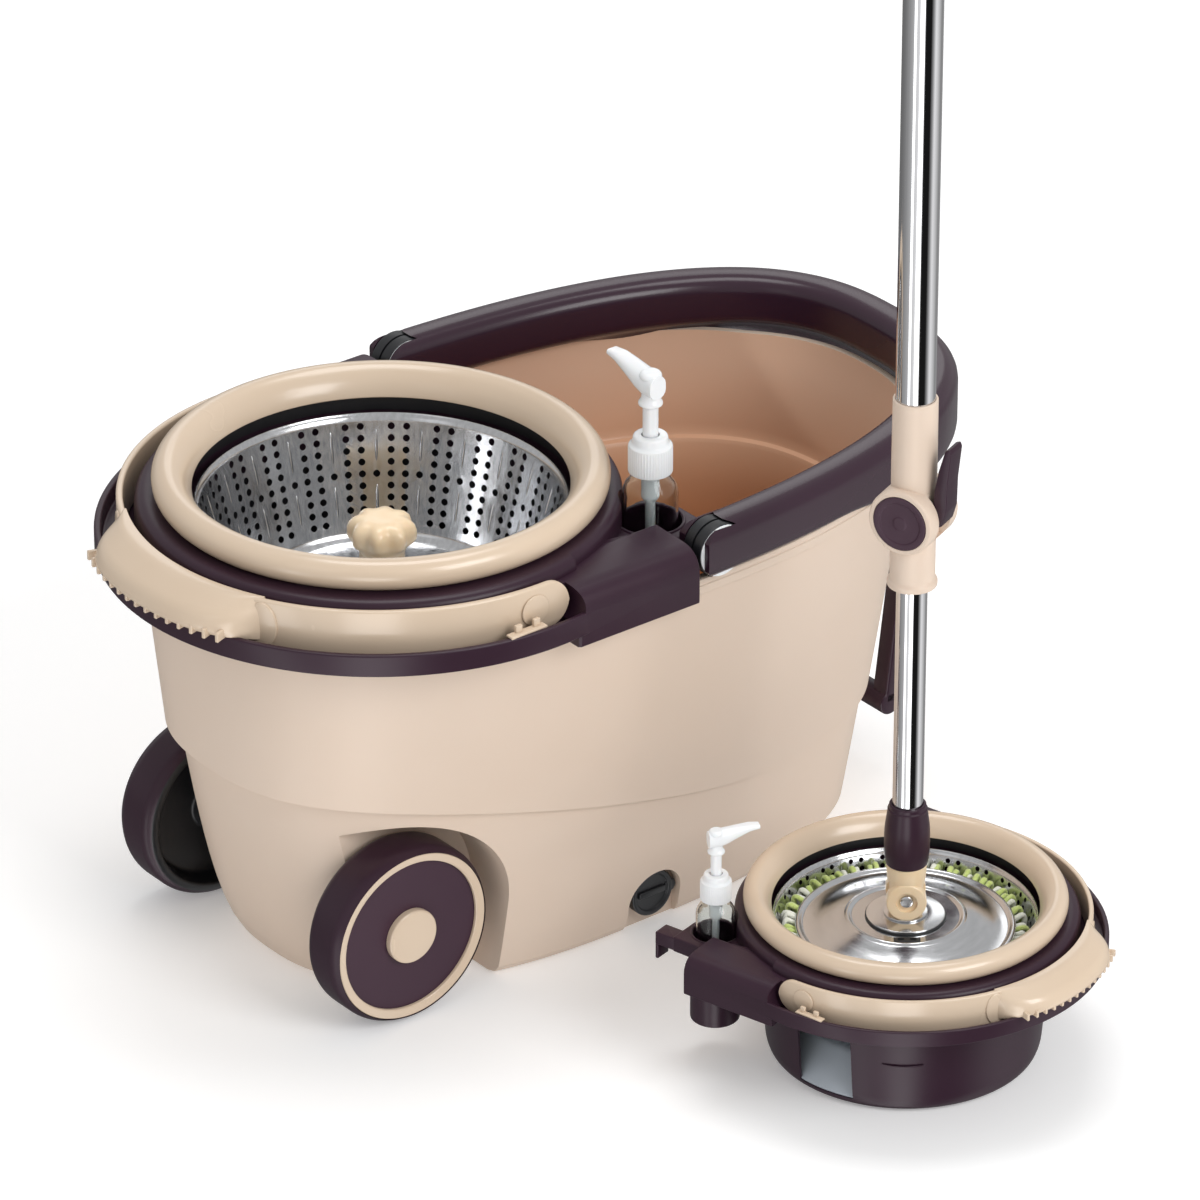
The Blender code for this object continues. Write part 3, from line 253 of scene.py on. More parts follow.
def skinned(count, stations, shape, capStart=True, capEnd=True):
    # carry a loop of count points through the stations; shape(k, station) places point k
    bm = bmesh.new()
    number = bm.verts.layers.int.new("number")
    ring = bmesh.ops.create_circle(bm, cap_ends=capStart, segments=count, radius=1)["verts"]
    for k, v in enumerate(ring):
        v[number] = k
        v.co = shape(k, stations[0])
    edges = [e for e in bm.edges]
    for station in stations[1:]:
        grown = bmesh.ops.extrude_edge_only(bm, edges=edges)["geom"]
        fresh = [g for g in grown if isinstance(g, bmesh.types.BMVert)]
        inRing = set(fresh)
        edges = [g for g in grown if isinstance(g, bmesh.types.BMEdge) and set(g.verts) <= inRing]
        for v in fresh:
            v.co = shape(v[number], station)
    if capEnd:
        bmesh.ops.contextual_create(bm, geom=edges)
    bmesh.ops.recalc_face_normals(bm, faces=bm.faces[:])
    return bm


def slab(outline, low, high, edge=0.0):
    # flat outline pulled up from low to high, its corners and rims rounded
    bm = bmesh.new()
    bottom = bm.faces.new([bm.verts.new((x, y, low)) for x, y in outline])
    top = bmesh.ops.extrude_face_region(bm, geom=[bottom])["geom"]
    bmesh.ops.translate(bm, vec=(0, 0, high - low), verts=[g for g in top if isinstance(g, bmesh.types.BMVert)])
    bmesh.ops.recalc_face_normals(bm, faces=bm.faces[:])
    if edge:
        bmesh.ops.bevel(bm, geom=bm.edges[:], offset=edge, affect="EDGES", segments=3, profile=0.5, material=-1)
    return bm


def block(x0, x1, y0, y1, z0, z1, edge=0.0):
    return slab([(x0, y0), (x1, y0), (x1, y1), (x0, y1)], z0, z1, edge)


def moved(bm, matrix):
    bmesh.ops.transform(bm, matrix=matrix, verts=bm.verts)
    if matrix.to_3x3().determinant() < 0:
        bmesh.ops.reverse_faces(bm, faces=bm.faces[:])
    return bm


def shifted(bm, x, y, z):
    return moved(bm, Matrix.Translation((x, y, z)))


def alongY(bm, x=0.0, y=0.0, z=0.0):
    # a piece made about Z, laid so that its axis runs along -Y through (x, y, z)
    return moved(bm, Matrix.Translation((x, y, z)) @ Matrix.Rotation(pi / 2, 4, "X"))


def joined(*parts):
    base = parts[0]
    for part in parts[1:]:
        scrap = bpy.data.meshes.new("scrap")
        part.to_mesh(scrap)
        part.free()
        base.from_mesh(scrap)
        bpy.data.meshes.remove(scrap)
    return base


def scratch(bm):
    mesh = bpy.data.meshes.new("scratch")
    bm.to_mesh(mesh)
    bm.free()
    made = bpy.data.objects.new("scratch", mesh)
    bpy.context.scene.collection.objects.link(made)
    return made


def carved(bm, tool, operation="DIFFERENCE"):
    base, cutter = scratch(bm), scratch(tool)
    step = base.modifiers.new("carve", "BOOLEAN")
    step.object, step.operation, step.solver = cutter, operation, "EXACT"
    result = bmesh.new()
    result.from_mesh(base.evaluated_get(bpy.context.evaluated_depsgraph_get()).to_mesh())
    bmesh.ops.remove_doubles(result, verts=result.verts[:], dist=2e-6)
    bmesh.ops.dissolve_degenerate(result, edges=result.edges[:], dist=2e-6)
    for used in (base, cutter):
        bpy.data.objects.remove(used)
    return result


def cut(bm, *tools):
    for tool in tools:
        bm = carved(bm, tool)
    return bm


def fused(bm, *others):
    for other in others:
        bm = carved(bm, other, "UNION")
    return bm


def finish(name, bm, materials, body, slotName, replaced=(), angle=32, bevel=0.0, keep=False):
    mesh = bpy.data.meshes.new(name)
    bm.to_mesh(mesh)
    if not keep:
        bm.free()
    made = bpy.data.objects.new(name, mesh)
    bpy.context.scene.collection.objects.link(made)
    for m in materials if isinstance(materials, (list, tuple)) else [materials]:
        mesh.materials.append(m)
    mesh.shade_smooth()
    mesh.set_sharp_from_angle(angle=radians(angle))
    if bevel:
        step = made.modifiers.new("soft edges", "BEVEL")
        step.width, step.segments, step.limit_method, step.angle_limit = bevel, 2, "ANGLE", radians(40)
        step.harden_normals = True
    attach(made, body)
    if replaced:
        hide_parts(*replaced)
    return made


# ---- camera, lights, floor

view = {"target": (0.1573, 0.0, 0.1532), "azimuth": -38.14, "elevation": 28.44, "distance": 5.0, "lens": 257.55}


def setStage():
    turn, tilt = radians(view["azimuth"]), radians(view["elevation"])
    back = Vector((sin(turn) * cos(tilt), -cos(turn) * cos(tilt), sin(tilt)))
    right = (-back).cross(Vector((0, 0, 1))).normalized()
    up = right.cross(-back)
    lens = bpy.data.cameras.new("camera")
    lens.lens, lens.sensor_width, lens.clip_end = view["lens"], 36, 60
    camera = bpy.data.objects.new("camera", lens)
    bpy.context.scene.collection.objects.link(camera)
    place = Matrix((right, up, back)).transposed().to_4x4()
    place.translation = Vector(view["target"]) + back * view["distance"]
    camera.matrix_world = place
    bpy.context.scene.camera = camera

    bm = bmesh.new()
    bmesh.ops.create_grid(bm, x_segments=8, y_segments=8, size=14)
    mesh = bpy.data.meshes.new("studioFloor")
    bm.to_mesh(mesh)
    bm.free()
    floor = bpy.data.objects.new("studioFloor", mesh)
    floor.location.z = -0.0005
    bpy.context.scene.collection.objects.link(floor)
    paper, tree, shader, place = startMaterial("whitePaperFloor", {"Base Color": linear("#F6F6F6"), "Roughness": 0.9})
    shader.inputs["Emission Color"].default_value = (1, 1, 1, 1)
    shader.inputs["Emission Strength"].default_value = 0.22
    mesh.materials.append(paper)
    floor.visible_glossy = False                           # gloss sees the studio below instead of white paper

    lamps = {
        "keySoft": ((0.4, -2.9, 2.1), 1.6, 1.6, 50), "fillSoft": ((-2.9, -1.0, 1.9), 1.2, 1.6, 2),
        "topSoft": ((0.5, 0.3, 3.0), 1.6, 1.2, 26), "backStrip": ((1.80, 2.15, 1.65), 1.6, 0.6, 4)}
    for name, (spot, wide, tall, power) in lamps.items():
        lamp = bpy.data.lights.new(name, "AREA")
        lamp.shape, lamp.size, lamp.size_y, lamp.energy = "RECTANGLE", wide, tall, power
        made = bpy.data.objects.new(name, lamp)
        made.location = spot
        made.rotation_euler = (Vector(spot) - Vector((0.15, -0.05, 0.2))).to_track_quat("Z", "Y").to_euler()
        bpy.context.scene.collection.objects.link(made)

    # white above; below the horizon bright and dark screens stand round the object, by compass angle
    screens = [(-180, 0.16), (-120, 0.20), (-95, 0.28), (-62, 0.45), (-50, 0.6), (-46, 3.0), (-38, 3.0), (-34, 0.8),
               (-16, 0.95), (-12, 4.0), (6, 4.0), (10, 0.9),
               (14, 0.012), (48, 0.012), (62, 0.35), (78, 1.0), (96, 0.75), (125, 0.30), (150, 0.35), (179.9, 0.16)]
    world = bpy.data.worlds.new("studio")
    world.use_nodes = True
    tree = world.node_tree
    ground = tree.nodes["Background"]
    coords = addNode(tree, "ShaderNodeTexCoord")
    parts = addNode(tree, "ShaderNodeSeparateXYZ", links={0: coords.outputs["Generated"]})
    compass = addNode(tree, "ShaderNodeMath", {"operation": "ARCTAN2"}, {0: parts.outputs[1], 1: parts.outputs[0]})
    along = addNode(tree, "ShaderNodeMapRange", {"From Min": -pi, "From Max": pi}, {"Value": compass.outputs[0]})
    ramp = addNode(tree, "ShaderNodeValToRGB", links={0: along.outputs[0]})
    stops = ramp.color_ramp.elements
    facing = view["azimuth"] - 90
    marks = sorted((((facing + turned + 180) / 360) % 1.0, value) for turned, value in screens)
    wrap = mix(marks[-1][1], marks[0][1], (1 - marks[-1][0]) / (1 - marks[-1][0] + marks[0][0]))
    stops[0].position, stops[0].color = 0.0, (wrap, wrap, wrap, 1)
    stops[1].position, stops[1].color = 1.0, (wrap, wrap, wrap, 1)
    for at, value in marks:
        stops.new(at).color = (value, value, value, 1)
    horizon = addNode(tree, "ShaderNodeMapRange", {"From Min": -0.12, "From Max": 0.10}, {"Value": parts.outputs[2]})
    both = addNode(tree, "ShaderNodeMix", {"data_type": "RGBA"}, {"Factor": horizon.outputs[0], 6: ramp.outputs[0]})
    both.inputs[7].default_value = (0.56, 0.56, 0.56, 1)
    tree.links.new(both.outputs[2], ground.inputs["Color"])
    ground.inputs["Strength"].default_value = 1.0
    bpy.context.scene.world = world
    bpy.context.scene.view_settings.view_transform = "Standard"


setStage()
print("stage ready")


# ---- bucket

bucket = {"rimTop": 0.2450, "rimLeft": 0.1330, "rimRight": 0.3470, "rimHalf": 0.1470,
          "baseLeft": 0.0760, "baseRight": 0.3150, "baseHalf": 0.1080, "middle": 0.1000,
          "wall": 0.0028, "floor": 0.0040, "stepLeft": 0.1370, "stepRight": 0.0790, "stepDeep": 0.0030,
          "ledge": 0.1800, "flangeOut": 0.0035, "flangeDeep": 0.0105, "segments": 208,
          "archR": 0.0665, "archIn": 0.0735, "spoutHalf": 0.0780, "spoutReach": 0.0125, "spoutLow": 0.1850}
drain = {"x": 0.1120, "z": 0.0215, "radius": 0.0147, "notchHalf": 0.0190, "notchDeep": 0.0120}
axleLow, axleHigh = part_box("wheel_near")
wheelX, wheelZ = (axleLow.x + axleHigh.x) / 2, (axleLow.z + axleHigh.z) / 2


def bucketPoint(k, z, inset):
    b = bucket
    t = 2 * pi * k / b["segments"]
    c, s = cos(t), sin(t)
    power = 2.6 if c > 0 else 2.5
    along = (1 if c > 0 else -1) * abs(c) ** (2 / power)
    rough = b["middle"] + along * ((b["rimRight"] - b["middle"]) if c > 0 else (b["rimLeft"] + b["middle"]))
    step = mix(b["stepLeft"], b["stepRight"], ease(-0.135, 0.215, rough))
    up = z / b["rimTop"]
    right = mix(b["baseRight"], b["rimRight"], up)
    half = mix(b["baseHalf"], b["rimHalf"], up ** 0.9)
    if z > step:
        left = mix(b["rimLeft"] - 0.0090, b["rimLeft"], (z - step) / (b["rimTop"] - step))
    else:
        left = b["baseLeft"] + (b["rimLeft"] - 0.0150 - b["baseLeft"]) * (max(z, 0.0) / step) ** 0.42
        inset += b["stepDeep"]
    reach = (right - b["middle"]) if c > 0 else (left + b["middle"])
    x = b["middle"] + along * (reach - inset)
    y = (half - inset) * (1 if s > 0 else -1) * abs(s) ** (2 / power)
    if x > 0.2 and abs(y) < b["spoutHalf"]:                # scooped spout inside a curved crease
        crease = b["spoutLow"] + (b["rimTop"] - b["spoutLow"]) * (y / b["spoutHalf"]) ** 2
        x += b["spoutReach"] * max(0.0, z - crease) / (b["rimTop"] - b["spoutLow"])
    return x, y, step


def outerPlace(k, station):
    kind, t, inset = station
    z = t
    if kind in ("low", "high"):
        step = bucketPoint(k, 0.1, 0)[2]
        z = step * t if kind == "low" else mix(step + 0.0022, bucket["rimTop"] - bucket["flangeDeep"], t)
    x, y, step = bucketPoint(k, z, inset)
    return x, y, z


def doorway(x, z, radius, y0, y1, steps=48):
    outline = [(x - radius, -0.01), (x + radius, -0.01)] + arcPoints(x, z, radius, 0, 180, steps)
    return skinned(len(outline), [y0, y1], lambda k, y: (outline[k][0], y, outline[k][1]))


def buildBucket():
    b = bucket
    rows = [("z", 0.0, 0.0070), ("z", 0.0018, 0.0022), ("z", 0.0060, 0.0)]
    rows += [("low", t, 0.0) for t in (0.10, 0.17, 0.26, 0.36, 0.46, 0.56, 0.66, 0.76, 0.85, 0.93, 0.98, 0.9999)]
    rows += [("high", t, 0.0) for t in (0.0, 0.02, 0.12, 0.3, 0.5, 0.7, 0.88, 1.0)]
    low, top, out = b["rimTop"] - b["flangeDeep"], b["rimTop"], b["flangeOut"]
    rows += [("z", low, -out + 0.0008), ("z", low + 0.0008, -out), ("z", low + 0.0060, -out),
             ("z", low + 0.0066, -out + 0.0007), ("z", top - 0.0022, -out + 0.0007),
             ("z", top - 0.0006, -out + 0.0013),
             ("z", top, -out + 0.0026)]
    body = skinned(b["segments"], rows, outerPlace)

    def innerPlace(k, station):
        z, inset, height = station
        x, y, step = bucketPoint(k, z, inset - (b["stepDeep"] if z <= bucketPoint(k, 0.1, 0)[2] else 0))
        return x, y, height
    wall, floor, ledge, room = b["wall"], b["floor"], b["ledge"], b["wall"] + 0.0045
    inner = [(floor, room + 0.010, floor), (floor + 0.003, room + 0.004, floor + 0.003),
             (floor + 0.009, room, floor + 0.009)]
    inner += [(z, room, z) for z in (0.04, 0.065, 0.09, 0.12, 0.15)]
    inner += [(ledge - 0.0035, room, ledge - 0.0035), (ledge - 0.0008, room - 0.0012, ledge - 0.0008),
              (ledge + 0.0002, wall + 0.0006, ledge + 0.0002), (ledge + 0.0016, wall, ledge + 0.0016)]
    inner += [(z, wall, z) for z in (0.187, 0.192, 0.197, 0.202, 0.207, 0.212, 0.217, 0.222, 0.227, 0.232,
                                     0.238)] + [(top, wall, top + 0.002)]
    hollow = skinned(b["segments"], inner, innerPlace)
    for side in (-1, 1):
        hollow = cut(hollow, doorway(wheelX, wheelZ, b["archR"] + wall, side * (b["archIn"] - wall), side * 0.2))
    notchY = mix(b["baseHalf"], b["rimHalf"], (drain["z"] / b["rimTop"]) ** 0.9) - drain["notchDeep"]
    hollow = cut(hollow, doorway(drain["x"], drain["notchHalf"], drain["notchHalf"] + wall, -notchY + wall, -0.2, 28))
    body = cut(body, hollow)
    for side in (-1, 1):
        body = cut(body, doorway(wheelX, wheelZ, b["archR"], side * b["archIn"], side * 0.2))
    body = cut(body, doorway(drain["x"], drain["notchHalf"], drain["notchHalf"], -notchY, -0.2, 28))
    for side in (-1, 1):                                   # lugs for the tow handle's pin
        lugY = side * 0.0347
        body = joined(body, block(b["rimRight"] - 0.0060, 0.3610, lugY - 0.0035, lugY + 0.0035, 0.1840, 0.1960,
                                  0.0012))
    # the inside gets a warmer copy of the beige that stands in for bounce light between the walls (painted bounce
    # light): faces that look towards the middle
    for f in body.faces:
        here = f.calc_center_median()
        x, y, step = here.x, here.y, 0
        towards = Vector((b["middle"] - x, -y, 0))
        facing = f.normal.dot(towards.normalized()) if towards.length > 0.001 else 1.0
        k = (atan2(y / b["rimHalf"], (x - b["middle"]) / 0.24) / (2 * pi)) * b["segments"]
        inside = here.z > b["floor"] - 0.0005 and (facing > 0.25 or (f.normal.z > 0.85 and here.z < 0.2))
        atArch = abs(y) > b["archIn"] - 0.0015 and x < wheelX + b["archR"] + 0.001 and here.z < wheelZ + b["archR"] + 0.001
        atDrain = here.z < 0.045 and abs(x - drain["x"]) < 0.021 and y < -notchY + 0.0015
        f.material_index = 1 if inside and not (atArch or atDrain) else 0
    finish("bucketShell", body, [beigeBody, beigeInsidePaintedBounce], "bucket", "beige_body", ["bucket_shell"], angle=24)

    # short moulded axle housing seen in each arch
    for side, word in ((-1, "near"), (1, "far")):
        pin = alongY(rod(0.0068, *sorted((-side * (b["archIn"] - 0.001), -side * 0.0757)), 40, 0.0008), wheelX, 0,
                     wheelZ)
        finish("axleBoss_" + word, pin, beigeBody, "bucket", "beige_body")


# ---- wheels

wheelSize = {"inner": 0.0760, "outer": 0.1060, "trimOut": 0.0513, "trimIn": 0.0460, "dish": 0.1025,
             "capR": 0.0165, "ringThick": 0.0030}


def buildWheels():
    w = wheelSize
    r = (axleHigh.x - axleLow.x) / 2
    for side, word in ((-1, "near"), (1, "far")):
        place = Matrix.Translation((wheelX, 0, wheelZ)) @ Matrix.Rotation(-side * pi / 2, 4, "X")
        body = "wheel_" + word + "_unit"
        tyre = filleted([
            (0.0043, w["inner"] + 0.0030, 0), (0.0120, w["inner"] + 0.0030, 0.001),
            (0.0140, w["inner"] + 0.0120, 0.002),
            (r - 0.0110, w["inner"] + 0.0120, 0.002), (r - 0.0085, w["inner"], 0.0015),
            (r - 0.0042, w["inner"], 0.002),
            (r, w["inner"] + 0.0046, 0.0035), (r, w["outer"] - 0.0050, 0.0035), (r - 0.0030, w["outer"], 0.0025),
            (w["trimOut"] + 0.0003, w["outer"], 0.0006), (w["trimOut"] + 0.0003, w["dish"], 0.0002),
            (0.0043, w["dish"], 0)], steps=4)
        bm = spun(tyre, 120)
        for f in bm.faces:                                 # flat plate between the trim and the hub
            here = f.calc_center_median()
            # the hollow back of the wheel is made black: partly its black back cover, partly painted shade on the
            # wheel's inner side
            backCoverAndShade = here.z < w["inner"] + 0.0121 and here.to_2d().length < r - 0.0035
            f.material_index = 1 if abs(here.z - w["dish"]) < 1e-4 else 2 if backCoverAndShade else 0
        finish("wheelTyre_" + word, moved(bm, place), [purpleBody, purpleDisc, blackBody], body, "purple_plastic",
               ["wheel_" + word])
        trim = spun(filleted([(w["trimOut"], w["dish"] + 0.0003, 0),
                              (w["trimOut"], w["dish"] + w["ringThick"] + 0.0002, 0.0008),
                              (w["trimIn"], w["dish"] + w["ringThick"] - 0.0008, 0.0012),
                              (w["trimIn"], w["dish"] + 0.0003, 0)]), 120)
        finish("wheelTrim_" + word, moved(trim, place), tanGloss, body, "tan_trim", ["wheel_trim_" + word])
        cap = spun(filleted([(0, w["dish"] + 0.0003, 0), (w["capR"], w["dish"] + 0.0003, 0),
                             (w["capR"], w["dish"] + 0.0043, 0.0014),
                             (0.0060, w["dish"] + 0.0048, 0.002), (0, w["dish"] + 0.0048, 0)], closed=False), 80,
                             closed=False)
        finish("hubCap_" + word, moved(cap, place), tanGloss, body, "tan_trim", ["hub_cap_" + word])
    for word in ("near", "far"):
        pin = frame["nodes"]["axle_" + word]
        pin.data.materials.clear()
        pin.data.materials.append(dishSteel)


# ---- handles of the bucket

carry = {"x": 0.1235, "z": 0.2620, "y": 0.1465, "wide": 0.0260, "tall": 0.0320, "right": 0.3690,
         "drumR": 0.0160, "drumWide": 0.0160, "skirt": 0.0110}
tow = {"x": 0.3560, "z": 0.1900, "y": 0.0450, "drop": 0.1450, "thick": 0.0090, "wide": 0.0130}


def rounded(wide, tall, corner, steps=4):
    points = []
    for k, (sx, sy) in enumerate(((1, 1), (-1, 1), (-1, -1), (1, -1))):
        for i in range(steps + 1):
            t = pi / 2 * (k + i / steps)
            points.append((sx * (wide / 2 - corner) + corner * cos(t), sy * (tall / 2 - corner) + corner * sin(t)))
    return points


def flatSweep(path, section):
    # section(i) gives the outline (offset, z) at path point i; offset is to the right of travel
    def shape(k, i):
        a, b = path[max(i - 1, 0)], path[min(i + 1, len(path) - 1)]
        run = (b - a).normalized()
        offset, z = section(i)[k]
        return path[i].x + run.y * offset, path[i].y - run.x * offset, z
    return skinned(len(section(0)), list(range(len(path))), shape)


def buildCarryHandle():
    c = carry
    left, middle, power, count = c["x"] - 0.0135, 0.0600, 2.6, 110
    reach = c["right"] - middle
    widest = acos(((left - middle) / reach) ** (power / 2))
    path = []
    for i in range(count + 1):
        t = mix(-widest, widest, i / count)
        x = middle + reach * cos(t) ** (2 / power)
        path.append(Vector((x, c["y"] * (1 if t > 0 else -1) * abs(sin(t)) ** (2 / power))))
    outline = rounded(c["wide"], c["tall"], 0.0095, 6)

    # the outer half grows a skirt over the rim at the pouring end
    def section(i):
        drop = c["skirt"] * ease(0.215, 0.300, path[i].x)
        return [(o, c["z"] + 0.0005 + z - (drop * ease(-0.008, 0.000, o) if z < 0 else 0)) for o, z in outline]
    body = flatSweep(path, section)
    for side in (-1, 1):
        y, room = side * c["y"], c["drumWide"] / 2 + 0.0003
        body = cut(body, alongY(rod(c["drumR"] + 0.0010, -y - room, -y + room, 64), c["x"], 0, c["z"]),
                   block(0, c["x"], y - room, y + room, c["z"] - 0.03, c["z"] + 0.03))
        end = block(c["x"] - 0.03, c["x"], y - 0.014, y + 0.014, c["z"] - 0.03, c["z"] + 0.03)
        keep = alongY(rod(c["tall"] / 2 - 0.0002, -y - 0.015, -y + 0.015, 64), c["x"], 0, c["z"])
        body = cut(body, cut(end, keep))
    finish("carryHandle", body, purpleGloss, "carry_bar", "purple_plastic", ["carry_handle"], angle=28)
    for side, word in ((-1, "near"), (1, "far")):
        y = side * c["y"]
        drum = rod(c["drumR"], -y - c["drumWide"] / 2, -y + c["drumWide"] / 2, 72, 0.0015)
        groove = spun([(c["drumR"] - 0.0012, -y - 0.0008), (c["drumR"] + 0.001, -y - 0.0008),
                       (c["drumR"] + 0.001, -y + 0.0008), (c["drumR"] - 0.0012, -y + 0.0008)], 72)
        foot = block(c["x"] - 0.0060, c["x"] + 0.0060, y - 0.0050, y + 0.0050, 0.2453, c["z"], 0.0008)
        body = joined(alongY(cut(drum, groove), c["x"], 0, c["z"]), foot)
        finish("carryDrum_" + word, body, blackBody, "bucket", "black_plastic", ["carry_drum_" + word])
        # white ring round the black drum's rim edge: a painted highlight standing in for the light crescent on the
        # rim
        rim = spun(filleted([(c["drumR"] - 0.0030, -y + 0.0076, 0), (c["drumR"] - 0.0004, -y + 0.0076, 0.0006),
                             (c["drumR"] - 0.0004, -y + 0.0084, 0.0004),
                             (c["drumR"] - 0.0030, -y + 0.0084, 0.0004)]), 72)
        finish("carryDrumPaintedGlint_" + word, alongY(rim, c["x"], 0, c["z"]), whitePump, "bucket", "black_plastic")


def buildTowHandle():
    t = tow
    lean = (bucket["rimRight"] - bucket["baseRight"]) / bucket["rimTop"]
    parts = []
    for side in (-1, 1):
        outline = [(-0.5, 0.0060), (0.5, 0.0060), (0.5, -t["drop"]), (-0.5, -t["drop"])]
        leg = slab([(x * t["thick"] - lean * max(-z, 0), z) for x, z in outline], -t["wide"] / 2, t["wide"] / 2,
                   0.0018)
        lay = Matrix.Translation((t["x"], side * t["y"], t["z"])) @ Matrix.Rotation(pi / 2, 4, "X")
        parts.append(moved(leg, lay))
    bar = alongY(rod(0.0075, -t["y"] - t["wide"] / 2, t["y"] + t["wide"] / 2, 48, 0.0015),
                 t["x"] - lean * t["drop"], 0, t["z"] - t["drop"])
    finish("towHandle", joined(bar, *parts), purpleBody, "tow_bar", "purple_plastic", ["tow_handle"])


def buildDrainCap():
    notchY = mix(bucket["baseHalf"], bucket["rimHalf"], (drain["z"] / bucket["rimTop"]) ** 0.9) - drain["notchDeep"]
    r = drain["radius"]
    disc = spun(filleted([(0, notchY - 0.0028, 0), (0.0077, notchY - 0.0028, 0), (0.0077, notchY + 0.0003, 0),
                          (r, notchY + 0.0003, 0),
                          (r, notchY + 0.0068, 0.0012), (r - 0.0028, notchY + 0.0068, 0.0008),
                          (r - 0.0034, notchY + 0.0052, 0.0008),
                          (0, notchY + 0.0052, 0)], closed=False), 72, closed=False)
    bar = block(-0.0095, 0.0095, -0.0020, 0.0020, notchY + 0.0050, notchY + 0.0069, 0.0008)
    ear = shifted(rod(0.0042, notchY + 0.0003, notchY + 0.0060, 32, 0.0008), r - 0.0012, 0, 0)
    place = Matrix.Translation((drain["x"], 0, drain["z"])) @ Matrix.Rotation(pi / 2, 4, "X")
    finish("drainCap", moved(joined(disc, bar, ear), place), blackBody, "drain_plug", "black_plastic", ["drain_cap"])


buildBucket()
buildWheels()
buildCarryHandle()
buildTowHandle()
buildDrainCap()
print("bucket, wheels and handles ready")


# ---- wringer, made full size about its own axis and then placed twice

tub = {"bottom": 0.1516, "radius": 0.1180, "baseR": 0.1110, "wall": 0.0025, "top": 0.2450,
       "windowHalf": 0.0255, "windowLow": 0.1600, "windowHigh": 0.2160}
deck = {"bottom": 0.2453, "lipR": 0.1630, "lipTop": 0.2590, "lipIn": 0.1590, "channel": 0.2485, "channelIn": 0.1400,
        "top": 0.2790, "inner": 0.1150, "armStart": 0.0340, "armEnd": 0.1030, "armOut": 0.1610, "armIn": 0.1280,
        "armTop": 0.2720, "armLow": 0.2380, "skirtIn": 0.1525}
ring = {"radius": 0.1209, "tube": 0.0091, "z": 0.2876, "inner": 0.1070, "low": 0.2800}
basket = {"radius": 0.1068, "baseR": 0.0880, "top": 0.2715, "floor": 0.1975, "groups": 24, "rows": 9, "holeR": 0.0021,
          "lowRow": 0.2105, "highRow": 0.2645, "sheet": 0.0007}
post = {"top": 0.2595, "radius": 0.0185, "neck": 0.0130, "lobes": 8}
bailSize = {"radius": 0.1480, "thick": 0.0040, "tall": 0.0290, "x": 0.0035, "z": 0.2648, "gripHalf": 27.0,
            "gripOut": 0.1730, "gripLow": 0.2605, "button": -0.0120, "ribs": 15}
well = {"x": 0.1145, "y": -0.1005, "radius": 0.0183, "top": 0.2620, "wall": 0.0018}
bottleSize = {"radius": 0.0160, "low": 0.1860, "top": 0.2900, "wall": 0.0010, "neck": 0.0095, "neckTop": 0.3100}
pump = {"collarR": 0.01275, "collarLow": 0.2935, "collarTop": 0.3165, "stem": 0.0045, "headLow": 0.3360,
        "headTop": 0.3560, "nozzle": 0.0350}


